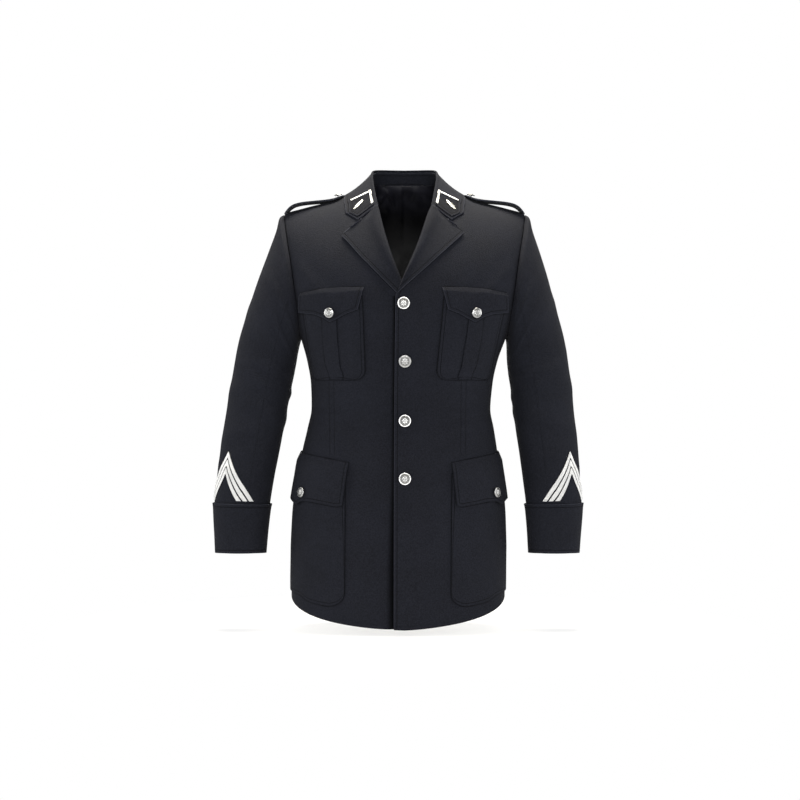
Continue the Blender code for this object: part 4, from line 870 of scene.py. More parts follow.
def satin_material(name, colour):
    mat, tree, shader = shader_of(name)
    twill = use(tree, "Twill weave", Rib=0.0005, Waver=0.1)
    nap = use(tree, "Nap", Cloud_Size=30.0)
    height = tree.nodes.new("ShaderNodeSeparateXYZ")
    tree.links.new(tree.nodes.new("ShaderNodeTexCoord").outputs["Object"], height.inputs[0])
    # Painted shade: the lining is darkened to near black below the neck, where the inside of the tunic is in
    # shade.
    upper = ranged(tree, height.outputs["Z"], -0.040, 0.020)
    base = blend_colours(tree, nap["Cloud"], scaled(colour, 0.8), scaled(colour, 1.6))
    base = blend_colours(tree, upper, scaled(colour, 0.1), base)
    put(tree, base, shader.inputs["Base Color"])
    put(tree, ranged(tree, nap["Cloud"], 0.0, 1.0, 0.36, 0.50), shader.inputs["Roughness"])
    tree.links.new(bump(tree, twill["Height"], 0.00004, 0.4), shader.inputs["Normal"])
    shader.inputs["Sheen Weight"].default_value = 0.01
    shader.inputs["Specular IOR Level"].default_value = 0.10
    return mat


def braid_material(name, colour, rib):
    """White braid woven in close cross ribs."""
    mat, tree, shader = shader_of(name)
    parts = tree.nodes.new("ShaderNodeSeparateXYZ")
    tree.links.new(tree.nodes.new("ShaderNodeTexCoord").outputs["UV"], parts.inputs[0])
    turns = math_node(tree, "MULTIPLY", math_node(tree, "DIVIDE", parts.outputs["X"], rib), math.tau)
    ribs = math_node(tree, "MULTIPLY_ADD", math_node(tree, "SINE", turns), 0.5, 0.5)
    nap = use(tree, "Nap", Cloud_Size=60.0, Fibre_Size=1500.0)
    edge = use(tree, "Stitched edge", Inset=0.0012, Stitch=0.0020, Groove=0.0005, Rim=0.0008)
    tone = math_node(tree, "MULTIPLY_ADD", ribs, 0.6, math_node(tree, "MULTIPLY", nap["Cloud"], 0.4))
    base = blend_colours(tree, tone, scaled(colour, 0.70), colour)
    # Painted shade: the braid is darker along its edges.
    base = blend_colours(tree, math_node(tree, "MULTIPLY", edge["Rim"], 0.25), base, scaled(colour, 0.55))
    put(tree, base, shader.inputs["Base Color"])
    put(tree, ranged(tree, nap["Cloud"], 0.0, 1.0, 0.60, 0.78), shader.inputs["Roughness"])
    normal = bump(tree, ribs, 0.00025, 0.8)
    normal = bump(tree, nap["Height"], 0.00008, 0.5, normal)
    tree.links.new(bump(tree, edge["Height"], 0.0002, 0.7, normal), shader.inputs["Normal"])
    shader.inputs["Sheen Weight"].default_value = 0.2
    return mat


def metal_material(name, colour, hollow=True):
    """Silvered metal, darker in the hollows of its relief."""
    mat, tree, shader = shader_of(name)
    wear = use(tree, "Tarnish")
    hollows = read(tree, "hollow")
    base = blend_colours(tree, math_node(tree, "MULTIPLY", wear["Dull"], 0.35), colour, scaled(colour, 0.62))
    base = blend_colours(tree, math_node(tree, "MULTIPLY", hollows, 0.78), base, scaled(colour, 0.10))
    put(tree, base, shader.inputs["Base Color"])
    dull = math_node(tree, "MULTIPLY_ADD", hollows, 0.25, math_node(tree, "MULTIPLY", wear["Dull"], 0.12))
    put(tree, math_node(tree, "ADD", dull, 0.29), shader.inputs["Roughness"])
    shader.inputs["Metallic"].default_value = 1.0
    tree.links.new(bump(tree, wear["Scratch"], 0.00003, 0.4), shader.inputs["Normal"])
    return mat


def make_materials():
    for maker in (twill_group, nap_group, edge_group, lap_group, dart_group, tarnish_group):
        maker()
    scene = bpy.context.scene
    wool = scene.tunic_cloth
    wool_material("tunic_wool", tuple(wool.colour), wool.rib)
    wool_material("patch_wool", scaled(wool.colour, 0.75), wool.rib * 0.7, 0.010)
    satin_material("tunic_lining", tuple(wool.lining_colour))
    braid_material("white_braid", tuple(scene.tunic_trim.braid_colour), 0.0012)
    metal_material("silvered_metal", tuple(scene.tunic_trim.metal_colour))


def finish(name):
    return bpy.data.materials[name]


# Fronts and backs
def hem_height(angle):
    c = np.cos(np.radians(angle))
    share = np.abs(np.sin(np.radians(angle)))**(2 / SECTION_POWER)
    front = SIDE_HEM - HEM_DROP * np.sqrt(np.maximum(0.0, 1 - share * share))
    front = front + HEM_SLACK * np.sin(math.pi * np.minimum(1.0, share))
    return np.where(c > 0, front, SIDE_HEM + (BACK_HEM - SIDE_HEM) * np.abs(c))


def front_inner(name, z):
    """The front's inner edge: its straight edge, then the roll line, then the neck seam."""
    roll = ROLL[name]
    edge = FRONT_OVER if name == "left" else FRONT_UNDER
    on_roll = height_of(roll, z)
    return np.where(z <= roll[0][0], edge, np.where(z <= roll[-1][0], on_roll, height_of(NECK_FRONT, z)))


def sink(name, x, z):
    """The lower front lies inside the upper one near the middle."""
    if name == "left":
        return 0.0 * x
    near = np.clip((0.062 - x) / 0.044, 0.0, 1.0)
    low = np.clip((-0.100 - z) / 0.055, 0.0, 1.0)
    parting = np.clip((-0.500 - z) / 0.16, 0.0, 1.0)
    fall = 0.0075 * parting * np.exp(-(np.maximum(0.0, x - 0.0165) / (0.0030 + 0.0055 * parting))**2)
    return UNDER_SINK * near * near * (3 - 2 * near) * low + fall


ARM_COLUMNS, SIDE_COLUMNS = 114, 20
LOWER_ROWS, UPPER_ROWS = 186, 104
BACK_COLUMNS, BACK_LOWER_ROWS, BACK_UPPER_ROWS = 62, 120, 70


def front_panel(name, side):
    edge = FRONT_OVER if name == "left" else FRONT_UNDER
    arm = float(height_of(ARMHOLE_FRONT, PANEL_TOP))
    half_top = float(sections(PANEL_TOP)[0])
    arm_angle = float(angle_of(arm, PANEL_TOP))
    inner_u, inner_v = mesh_of(even(ARM_COLUMNS + 1), even(LOWER_ROWS + 1))
    share = edge / half_top + (arm - edge) / half_top * inner_u
    foot = hem_height(np.degrees(np.arcsin(np.copysign(np.abs(share)**(SECTION_POWER / 2), share))))
    z = foot + (PANEL_TOP - foot) * inner_v
    half = sections(z)[0]
    x = half * share + (edge - half * edge / half_top) * (1 - inner_u)
    below = front_face(side, x, z)

    side_u, side_v = mesh_of(even(SIDE_COLUMNS + 1)[1:], even(LOWER_ROWS + 1))
    angle = arm_angle + (SIDE_SEAM - arm_angle) * side_u
    top = PANEL_TOP + (UNDERARM - PANEL_TOP) * np.sin(math.pi * side_u)**0.7
    foot = hem_height(angle)
    beside = trunk(side, angle, foot + (top - foot) * side_v)

    top_u, top_v = mesh_of(even(ARM_COLUMNS + 1), even(UPPER_ROWS + 1)[1:])
    w = 1 - (1 - top_v)**2
    x_in = front_inner(name, PANEL_TOP + w * (0.0115 - PANEL_TOP))
    x_out = height_of(ARMHOLE_FRONT, PANEL_TOP + w * (-0.0310 - PANEL_TOP))
    z = PANEL_TOP + w * (height_of(SHOULDER, 0.0730 + (0.2190 - 0.0730) * top_u) - PANEL_TOP)
    above = front_face(side, x_in + (x_out - x_in) * top_u, z)
    filler = np.repeat(above[:, -1:], SIDE_COLUMNS, axis=1)
    points = np.vstack([np.hstack([below, beside]), np.hstack([above, filler])])

    points = drape(points)
    points = raised(points, from_chest(points), -sink(name, side * points[..., 0], points[..., 2]))
    dart = dart_lines(name, side, points)
    return cloth("front_" + name, points, from_chest(points), finish("tunic_wool"), edges="left",
                 keep=lambda i, j: not (i >= ARM_COLUMNS and j >= LOWER_ROWS), extra={"dart": dart})


def dart_lines(name, side, points):
    """The signed distances to the two dart lines, and where they run."""
    x, _, z = np.moveaxis(points, -1, 0)
    offs = []
    for x0, z0, x1, z1 in DARTS[name]:
        line = x0 + (x1 - x0) * (z - z0) / (z1 - z0)
        offs.append(side * x - line)
    span = np.clip((z - DARTS[name][0][3]) / 0.012, 0, 1) * np.clip((DARTS[name][0][1] - z) / 0.004, 0, 1)
    return stacked(offs[0], offs[1], span)


def back_panel(name, side):
    seam_angle = SIDE_SEAM + 0.02
    half_top = float(sections(PANEL_TOP)[0])
    last_low = float(section_x(seam_angle, half_top))
    u, v = mesh_of(even(BACK_COLUMNS), even(BACK_LOWER_ROWS + 1))
    angle = 180.0 - (180.0 - seam_angle) * u**0.9
    foot = hem_height(angle)
    below = trunk(side, angle, foot + (PANEL_TOP - foot) * v)
    below[:, 0, 0] = 0.0
    u, v = mesh_of(even(BACK_COLUMNS), even(BACK_UPPER_ROWS + 1)[1:])
    w = 1 - (1 - v)**2
    angle = 180.0 - (180.0 - seam_angle) * u**0.9
    low_x = section_x(angle, half_top)
    z_out = PANEL_TOP + w * (-0.0310 - PANEL_TOP)
    grow = last_low / 0.1817
    x_out = height_of(ARMHOLE_BACK, z_out) * grow
    x_out = x_out + (0.2190 - float(height_of(ARMHOLE_BACK, -0.0310)) * grow) * w
    share = low_x / last_low + (u - low_x / last_low) * w
    top_x = 0.219 * u
    neck = np.where(top_x < 0.073, height_of(NECK_BACK, top_x), height_of(SHOULDER, top_x))
    above = back_face(side, x_out * share, PANEL_TOP + w * (neck - PANEL_TOP))
    points = np.vstack([below, above])
    points = drape(points)
    return cloth("back_" + name, points, from_chest(points), finish("tunic_wool"))


LINING_TOP = 0.0275       # the straight edge of the lining, felled to the inside of the stand
LINING_REACH = 0.0580


def back_lining():
    """Lines the upper half of the back and the foot of the stand, with a pleat of ease and loose wrinkles."""
    columns, low_rows, high_rows = even(113), even(56), even(7)[1:]
    u, v = mesh_of(columns, low_rows)
    x = -0.150 + 0.300 * u
    ax = np.abs(x)
    top = np.where(ax < 0.073, height_of(NECK_BACK, ax), height_of(SHOULDER, ax))
    top = top - 0.0030 - 0.016 * np.clip((ax - LINING_REACH) / 0.014, 0.0, 1.0)
    w = 1 - (1 - v)**1.6
    below = drape(back_face(1.0, x, -0.300 + w * (top + 0.300)))
    lift = -CLOTH - 0.0024 - 0.0006 * np.minimum(1.0, (1 - v) * 4.0)
    below = raised(below, from_chest(below), lift)
    u, v = mesh_of(columns, high_rows)
    x = -0.150 + 0.300 * u
    seam_x = [row[1] for row in COLLAR_SEAM[:4]]
    t = np.interp(np.abs(x), seam_x, [row[0] for row in COLLAR_SEAM[:4]])
    low = stand_place(np.sign(x + 1e-9), t, np.zeros_like(t))
    high = stand_place(np.sign(x + 1e-9), t, np.ones_like(t))
    q = (LINING_TOP - low[..., 2]) / (high[..., 2] - low[..., 2]) * v
    above = low + (high - low) * q[..., None]
    above = raised(above, from_neck(above), np.full_like(v, -CLOTH - 0.0009))
    points = np.vstack([below, above])
    depth = (LINING_TOP - points[..., 2]) / 0.045
    near = np.exp(-np.maximum(0.0, depth - 0.6)**2) * np.clip(depth / 0.12, 0.0, 1.0)
    x = points[..., 0]
    pleat = 0.0036 * np.exp(-((x + 0.0065) / 0.0022)**2) + 0.0016 * np.exp(-((x + 0.0120) / 0.0030)**2)
    slack = sum(h * np.exp(-((x - a - c * (depth - b)) / wide)**2) * np.exp(-((depth - b) / tall)**2)
                for h, a, b, c, wide, tall in (
                    (0.0060, -0.030, 0.30, 0.030, 0.0045, 0.20), (0.0055, -0.044, 0.50, -0.025, 0.0040, 0.18),
                    (0.0045, -0.022, 0.62, 0.015, 0.0040, 0.20), (0.0026, 0.016, 0.30, -0.020, 0.0050, 0.22),
                    (0.0022, 0.034, 0.45, 0.025, 0.0050, 0.24), (0.0040, -0.036, 0.85, 0.020, 0.0050, 0.20)))
    points = raised(points, from_chest(points), -(pleat + slack) * near)
    return cloth("back_lining", points, from_chest(points), finish("tunic_lining"), LINING,
                 keep=lambda i, j: j < len(low_rows) - 1 or abs(rows_middle(columns, i)) < LINING_REACH)


def rows_middle(columns, i):
    """The distance from the middle of the back to the middle of a column of the lining."""
    return -0.150 + 0.300 * (columns[i] + columns[i + 1]) / 2


# Lapels and collar
def lapel(name, side, note=False):
    low, high = ROLL[name][0][0], ROLL[name][-1][0]
    u, v = mesh_of(tight_ends(44), LAPEL_START + (1 - LAPEL_START) * tight_ends(90, 0.3))
    z0 = low + (high - low) * v
    x0 = front_inner(name, z0)
    x1, z1 = straight(LAPEL_EDGE[name], v)
    x = x0 + (x1 - x0) * u
    z = z0 + (z1 - z0) * u - 0.0230 * np.maximum(0.0, v - 0.9)
    base = drape(front_face(side, x, z))
    base = raised(base, from_chest(base), -sink(name, side * base[..., 0], base[..., 2]))
    puff = 0.0040 * np.exp(-((u - 0.13) / 0.17)**2) * np.minimum(1.0, v * 3.0)
    if name == "right":
        puff *= np.clip((v - 0.25) / 0.25, 0.0, 1.0)
    flute = 0.0014 * np.sin(math.pi * u) * np.exp(-((v - 0.42) / 0.16)**2)
    lift = CLOTH + 0.0006 + (puff + flute) * np.minimum(1.0, u / 0.04)
    lift = lift + 0.0016 * np.clip((u - 0.6) / 0.4, 0.0, 1.0) * np.clip(v / 0.3, 0.0, 1.0)
    points = raised(base, from_chest(base), lift)
    turn = lapel_turn(base, points)
    points = np.hstack([turn, points])
    if note:
        LAPS["lapel_" + name] = outline_of(points[:, 4:])
        return None
    return cloth("lapel_" + name, points, from_chest(points), finish("tunic_wool"), edges="right high")


def lapel_turn(base, points):
    """The first part of the lapel, as it rolls round the edge of the front."""
    n = facing(base, from_chest(base))[:, 4]
    across = base[:, 4] - base[:, 0]
    length = np.linalg.norm(across, axis=1, keepdims=True)
    across = across / np.maximum(length, 1e-9)
    radius = np.minimum(0.0013, length * 1.2)
    columns = []
    for a in np.radians([100.0, 122.0, 144.0, 162.0]):
        columns.append(points[:, 0] - n * radius * (1 + math.cos(a)) - across * radius * math.sin(a))
    return np.stack(columns, axis=1)


def seam_place(side, t):
    x, z = np.moveaxis(smooth(COLLAR_SEAM, t), -1, 0)
    return np.where((t < 0.6)[..., None], back_face(side, x, z), front_face(side, x, z))


def mirrored(side):
    return stacked(side, np.ones_like(side), np.ones_like(side))


def stand_place(side, t, v):
    """The stand's outer face: v from the neck seam (0) to the fold (1)."""
    low = seam_place(side, t) + np.array([0, 0, 0.0010])
    high = smooth(COLLAR_ROLL, t) * mirrored(side) + np.array([0, 0, -0.0032])
    return low + (high - low) * v[..., None]


def collar_stand():
    u, v = mesh_of(even(97), even(12))
    points = stand_place(np.where(u >= 0.5, 1.0, -1.0), np.abs(u * 2 - 1) * 0.89, v)
    return cloth("collar_stand", points, stacked(points[..., 0], points[..., 1] - 0.005, 0 * u),
                 finish("tunic_wool"), edges="low high")


def trunk_tree():
    """The outer faces of the fronts and backs, as a tree for nearest places."""
    places, cells = [], []
    count = 60
    u, v = mesh_of(even(count), even(count))
    for is_front in (True, False):
        for side in (1.0, -1.0):
            x = 0.232 * u
            top = height_of(SHOULDER if is_front else BACK_TOP, x)
            z = -0.26 + (top + 0.26) * (1 - (1 - v)**2)
            grid = drape(front_face(side, x, z) if is_front else back_face(side, x, z))
            start = len(places)
            places += [Vector(p) for p in grid.reshape(-1, 3)]
            for j in range(count - 1):
                for i in range(count - 1):
                    a = start + j * count + i
                    cells.append((a, a + 1, a + count + 1, a + count))
    return BVHTree.FromPolygons(places, cells)


def clear_of_trunk(points, gap, tree):
    """Moves places out until they are at least gap off the trunk's outer face."""
    out = points.copy()
    for index in np.ndindex(points.shape[:2]):
        place, n, _, _ = tree.find_nearest(Vector(points[index]))
        place, n = np.array(place), np.array(n)
        hint = from_chest(place)
        n = -n if n @ hint < 0 else n
        if (points[index] - place) @ n < gap[index]:
            out[index] = place + n * gap[index]
    return out


def fall_place(side, t, v):
    """The collar's outer face, from the fold (v 0) to its edge (v 1)."""
    roll = smooth(COLLAR_ROLL, t) * mirrored(side)
    edge = smooth(COLLAR_EDGE, t) * mirrored(side)
    out = stacked(roll[..., 0], roll[..., 1] - 0.005, 0 * t)
    out /= np.linalg.norm(out, axis=-1, keepdims=True)
    up = np.array([0.0, 0.0, 1.0])
    height = np.minimum(1.0, (1.05 - t) / 0.20)[..., None]
    start = roll - out * 0.0018 * height + up * 0.0002
    top = roll + up * 0.0010 + out * 0.0010
    shoulder = roll + (out * 0.0036 - up * 0.0035) * height
    control = 2 * top - (start + shoulder) / 2
    s = np.clip(v / 0.20, 0, 1)[..., None]
    turn = (1 - s)**2 * start + 2 * s * (1 - s) * control + s**2 * shoulder
    f = np.clip((v - 0.20) / 0.80, 0, 1)[..., None]
    hollow = np.exp(-((t - 0.60) / 0.17)**2)[..., None]
    middle = (shoulder + edge) / 2 - up * (0.0025 + 0.0030 * hollow) - out * 0.0015 * hollow
    fall = shoulder * (1 - f)**2 + 2 * middle * f * (1 - f) + edge * f**2
    return np.where((v < 0.20)[..., None], turn, fall)


def collar_end(side, v):
    """The collar's front end: down the gorge seam to the notch, then out to the collar's point."""
    gorge = smooth(COLLAR_ROLL, np.ones_like(v)) * mirrored(side)
    notch = front_face(side, np.full_like(v, NOTCH[0]), np.full_like(v, NOTCH[1]))
    notch[..., 0] = side * NOTCH[0]
    tip = smooth(COLLAR_EDGE, np.ones_like(v)) * mirrored(side)
    down = np.clip(v / COLLAR_NOTCH_AT, 0, 1)[..., None]
    out = np.clip((v - COLLAR_NOTCH_AT) / (1 - COLLAR_NOTCH_AT), 0, 1)[..., None]
    return gorge + (notch - gorge) * down + (tip - notch) * out + np.array([0.0, 0.0, 0.0016])


def collar_place(side, t, v, tree):
    points = fall_place(side, np.minimum(t, 0.87), v)
    share = np.clip((t - 0.87) / 0.13, 0, 1)[..., None]
    points = points + (collar_end(side, v) - points) * share
    gap = 0.0040 - 0.0008 * np.clip((t - 0.60) / 0.10, 0, 1)
    gap = np.where(v > 0.05, gap, -1.0)
    return clear_of_trunk(points, gap, tree)


def collar_fall(tree):
    u, v = mesh_of(even(151), np.concatenate([even(13, 0.0, 0.2), even(40, 0.22, 1.0)]))
    points = collar_place(np.where(u >= 0.5, 1.0, -1.0), np.abs(u * 2 - 1), v, tree)
    return cloth("collar_fall", points, from_neck(points), finish("tunic_wool"), edges="high left right")


def patch_place(side, u, v, tree):
    """A place on the collar patch: u down it to the gorge, v from the fold out to its outer edge."""
    t = (0.862 - 0.030 * v) * (1 - u) + 0.985 * u
    w = (0.190 - 0.090 * u) * (1 - v) + 0.880 * v
    return collar_place(np.full_like(u, side), t, w, tree)


def collar_piece(name, side, low, high, counts, lift, thick, mat, tree, edges="", slant=0.0):
    """A piece laid on the collar, between two corners given in the patch's own shares."""
    u, v = mesh_of(tight_ends(counts[0]), tight_ends(counts[1]))
    across = low[1] + (high[1] - low[1]) * v + slant * u
    points = patch_place(side, low[0] + (high[0] - low[0]) * u, across, tree)
    points = raised(points, from_neck(points), np.full_like(u, lift))
    return cloth(name, points, from_neck(points), mat, thick, edges=edges)


def collar_leaf(name, side, lift, tree):
    """A flat metal leaf with a raised vein, notched at its sides, pinned on the patch along its slant."""
    us, vs = np.array([[0.25, 0.765, 0.51, 0.25, 0.765]]), np.array([[0.35, 0.87, 0.61, 0.87, 0.35]])
    tip, stem, centre, one, two = patch_place(side, us, vs, tree)[0]
    along = Vector(tip - stem).normalized()
    n = along.cross(Vector(one - two)).normalized()
    if n.dot(Vector((centre[0], centre[1] - 0.005, 0.02))) < 0:
        n = -n
    over = n.cross(along)
    bm = bmesh.new()
    bmesh.ops.create_grid(bm, x_segments=48, y_segments=18, size=1.0)
    bmesh.ops.recalc_face_normals(bm, faces=list(bm.faces))
    hollow = bm.verts.layers.float.new("hollow")
    for vert in bm.verts:
        run, across = vert.co.x, vert.co.y
        teeth = 0.00035 * math.cos(run * math.pi * 5) * (1 - run * run)
        wide = LEAF[1] * max(1 - run * run, 0.0)**0.7 + 0.0005 + teeth
        vein = math.exp(-(across / 0.14)**2) + 0.6 * math.exp(-((abs(across) - 0.55) / 0.20)**2)
        vert[hollow] = min(1.0, max(0.0, 0.85 - vein)) * (1 if abs(across) < 0.92 else 0)
        dome = 0.0006 * (1 - across * across) * (1 - run * run) + 0.00030 * vein
        vert.co = Vector(centre) + along * run * LEAF[0] + over * wide * across + n * (lift - 0.0007 + dome)
    bm.normal_update()
    if sum((f.normal * f.calc_area()).dot(n) for f in bm.faces) < 0:
        bmesh.ops.reverse_faces(bm, faces=list(bm.faces))
    mesh = bpy.data.meshes.new(name)
    bm.to_mesh(mesh)
    bm.free()
    mesh.shade_smooth()
    mesh.materials.append(finish("silvered_metal"))
    body = bpy.data.objects.new(name, mesh)
    bpy.context.scene.collection.objects.link(body)
    wall = body.modifiers.new("thickness", "SOLIDIFY")
    wall.thickness = 0.0006
    wall.offset = -1.0
    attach(body, "root")
    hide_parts(name)
    return body


def collar_trim(name, side, tree):
    on_patch = COLLAR_GAP + 0.0008
    on_top = on_patch + 0.0005 + 0.0007
    collar_piece("collar_patch_" + name, side, (0.0, 0.0), (1.0, 1.0), (40, 40), on_patch, 0.0008,
                 finish("patch_wool"), tree, "left right low high")
    collar_piece("collar_bar_" + name, side, (0.04, 0.065), (0.90, 0.155), (50, 8), on_top, 0.0007,
                 finish("white_braid"), tree, slant=-0.060)
    collar_piece("collar_cord_" + name, side, (0.04, 0.175), (0.135, 0.90), (8, 44), on_top, 0.0007,
                 finish("white_braid"), tree)
    collar_leaf("collar_leaf_" + name, side, on_patch + LEAF_GAP + 0.0011, tree)


# Sleeves and cuffs
def armhole_place(side, phi):
    """The armhole seam: 0 at the shoulder, a quarter at the front, a half under the arm."""
    front = phi <= 0.5
    share = np.where(front, phi / 0.5, (1.0 - phi) / 0.5)
    z = -0.0310 + (UNDERARM + 0.0310) * (1 - np.cos(share * math.pi)) / 2
    high = np.where(front[..., None], front_face(side, height_of(ARMHOLE_FRONT, z), z),
                    back_face(side, height_of(ARMHOLE_BACK, z), z))
    drop = np.clip((PANEL_TOP - z) / (PANEL_TOP - UNDERARM), 0.0, 1.0)
    turn = np.arcsin(np.minimum(1.0, drop**(1 / 0.7))) / (math.pi / 2)
    front_start = float(angle_of(float(height_of(ARMHOLE_FRONT, PANEL_TOP)), PANEL_TOP))
    start = np.where(front, front_start, SIDE_SEAM)
    low = trunk(side, start + ((front_start + SIDE_SEAM) / 2 - start) * turn, z)
    return np.where((z > PANEL_TOP)[..., None], high, low)


def sleeve_ring(side, phi, k):
    ox, oz, ix, iz, depth, mid, _ = np.moveaxis(smooth(SLEEVE_KEYS, k), -1, 0)
    c, s = np.cos(math.tau * phi), np.sin(math.tau * phi)
    c = np.copysign(np.abs(c)**0.94, c)
    s = np.copysign(np.abs(s)**0.94, s)
    x = (ox + ix) / 2 + (ox - ix) / 2 * c
    z = (oz + iz) / 2 + (oz - iz) / 2 * c
    return stacked(side * x, mid - depth * s, z)


def sleeve_plain(side, phi, k):
    """The sleeve's outer face without folds. k counts the rows of its table from the armhole."""
    share = smooth(SLEEVE_KEYS, k)[..., 6]
    own = armhole_place(side, phi % 1.0) - sleeve_ring(side, phi, np.zeros_like(k))
    points = sleeve_ring(side, phi, k) + own * share[..., None]
    if side > 0:
        lean = height_of(SLEEVE_LEAN, np.minimum(points[..., 2], -0.03))
        points[..., 0] += lean * (1 - share)**2
    return points


def sleeve_middle(side, k):
    ox, oz, ix, iz, _, mid, share = np.moveaxis(smooth(SLEEVE_KEYS, k), -1, 0)
    z = (oz + iz) / 2
    lean = height_of(SLEEVE_LEAN, np.minimum(z, -0.03)) * (1 - share)**2 if side > 0 else 0.0
    return stacked(side * (ox + ix) / 2 + lean, mid, z)


def from_arm(side, points, k):
    return points - sleeve_middle(side, k)


def sleeve_place(side, phi, k):
    """The sleeve with the soft folds of its elbow and upper arm."""
    points = sleeve_plain(side, phi, k)
    way = from_arm(side, points, k)
    way /= np.maximum(np.linalg.norm(way, axis=-1, keepdims=True), 1e-9)
    rise = np.zeros_like(k)
    for index, (phi0, k0, slant, wide, tall, high) in enumerate(SLEEVE_FOLDS):
        shift = 0.25 * math.sin(index * 2.4) if side > 0 else 0.0
        off = (phi - phi0 + 0.5) % 1.0 - 0.5
        down = (k - k0 - shift - slant * off) / tall
        rise += high * np.exp(-(off / wide)**2) * (np.exp(-down**2) - 0.5 * np.exp(-(down / 1.9)**2))
    calm = np.clip((k - 0.6) / 1.4, 0, 1) * np.clip((11.0 - k) / 1.2, 0, 1)
    head = 0.0012 * np.exp(-((k - 0.7) / 0.45)**2) * np.clip(np.cos(math.tau * phi) + 0.6, 0, 1)
    return points + way * ((rise * calm) * bpy.context.scene.tunic_cloth.folds + head)[..., None]


def sleeve_half(name, side, top):
    """The top sleeve covers the front, outside and back; the undersleeve faces the body."""
    low, high = (-0.3360, 0.2872) if top else (0.2877, 0.6635)
    rows = np.concatenate([even(14, SLEEVE_START, 1.2), even(118, 1.3, SLEEVE_END)])
    phi, k = mesh_of(low + (high - low) * tight_ends(64 if top else 36), rows)
    points = sleeve_place(side, phi, k)
    label = "top_sleeve_" if top else "undersleeve_"
    return cloth(label + name, points, from_arm(side, points, k), finish("tunic_wool"), edges="")


def cuff(name, side):
    """The turned-back end of a sleeve, sewn up at the inside of the arm."""
    phi, k = mesh_of(even(90, 0.5004, 1.4996), np.concatenate([even(5, 11.10, 11.16), even(28, 11.22, 13.03)]))
    points = sleeve_plain(side, phi % 1.0, np.minimum(k, SLEEVE_END))
    end = np.maximum(0.0, (k - 12.4) / 0.63)
    points[..., 2] += CUFF_RISE * np.sin(math.tau * phi) * end - 0.046 * np.maximum(0.0, k - SLEEVE_END)
    dent = sum(h * np.exp(-(((phi % 1.0 - a + 0.5) % 1.0 - 0.5) / w)**2) * np.exp(-((k - b) / t)**2)
               for a, b, w, t, h in ((0.20, 12.1, 0.03, 0.5, -0.0008), (0.30, 11.9, 0.025, 0.4, -0.0006),
                                     (0.05, 12.3, 0.04, 0.4, -0.0006), (0.85, 12.0, 0.04, 0.5, -0.0008)))
    lip = 0.0008 * np.exp(-((k - 11.10) / 0.10)**2)
    points = raised(points, from_arm(side, points, k), 0.0031 + lip + dent)
    return cloth("cuff_" + name, points, from_arm(side, points, k), finish("tunic_wool"), edges="low high")


# Pockets, flaps and straps
def laid(name, side, girth, z, lift, thick, edges, rim=-1.0, note=False):
    """A piece laid on the front by the length along the body and the height."""
    points = drape(by_girth(side, girth, z))
    points = raised(points, from_chest(points), lift + 0.0 * z)
    if note:
        LAPS[name] = outline_of(points)
        return None
    return cloth(name, points, from_chest(points), finish("tunic_wool"), thick, edges=edges,
                 rim=rim)


def between(top, edge, u, v, shift=0.0):
    """A place on a flap: u along it, v from its lower edge (0) to its top (1)."""
    g0 = top[0][0] + (top[-1][0] - top[0][0]) * u
    g1 = edge[0][0] + (edge[-1][0] - edge[0][0]) * u
    z0 = height_of(top, g0)
    z1 = scallop(edge, g1)
    return g1 + (g0 - g1) * v + shift, z1 + (z0 - z1) * v


def scallop(edge, girth):
    """The flap's lower edge, with its corners a little rounded."""
    spots = np.linspace(-0.0025, 0.0025, 5)
    low, high = edge[0][0], edge[-1][0]
    return sum(straight(edge, np.clip(girth + s, low, high))[0] for s in spots) / len(spots)


def chest_rise(v):
    """How far the chest pocket's inner face stands off the front: a little more at its foot."""
    return LAID_ON + 0.0004 * np.maximum(0.0, 1 - v / 0.55)


def chest_pocket(name, side, note=False):
    shift = CHEST_SHIFT[name]
    foot, top = CHEST_POCKET
    u, v = mesh_of(tight_ends(50), np.concatenate([even(22, 0.0, 0.13), even(48, 0.145, 1.0)]))
    corner = np.maximum(0.0, 1 - v * (top - foot) / CHEST_CORNER)
    tuck = CHEST_CORNER * (1 - np.sqrt(np.maximum(0.0, 1 - corner**2)))
    inner, outer = 0.0650 + 0.0098 * v + tuck, 0.1830 + 0.0120 * v - tuck
    laid("chest_pocket_" + name, side, inner + (outer - inner) * u + shift, foot + (top - foot) * v,
         chest_rise(v) + 0.0013, 0.0013, "left right low", note=note)
    u, v = mesh_of(tight_ends(24, 0.7), even(60))
    z = CHEST_PLEAT[0][0] + (CHEST_PLEAT[-1][0] - CHEST_PLEAT[0][0]) * v
    middle, half = np.moveaxis(smooth(CHEST_PLEAT, z), -1, 0)
    laid("chest_pleat_" + name, side, middle + half * (2 * u - 1) + shift, z,
         chest_rise(v) + 0.0013 + 0.0005 + 0.0012, 0.0012, "", note=note)
    if note:
        LAPS["chest_pleat_" + name][:u.shape[1], 1] -= 0.012       # the folds run on to the pocket's foot
    u, v = mesh_of(even(90), np.concatenate([even(14, 0.0, 0.16), even(26, 0.19, 1.0)]))
    girth, z = between(CHEST_FLAP_TOP, CHEST_FLAP_EDGE, u, v, shift)
    laid("chest_flap_" + name, side, girth, z, chest_flap_rise(v), TRIM_CLOTH, "left right low",
         1.0, note)


def chest_flap_rise(v):
    """How far the chest flap's outer face stands off the front."""
    return LAID_ON + TRIM_CLOTH + 0.0037 * np.minimum(1.0, (1 - v) / 0.16)


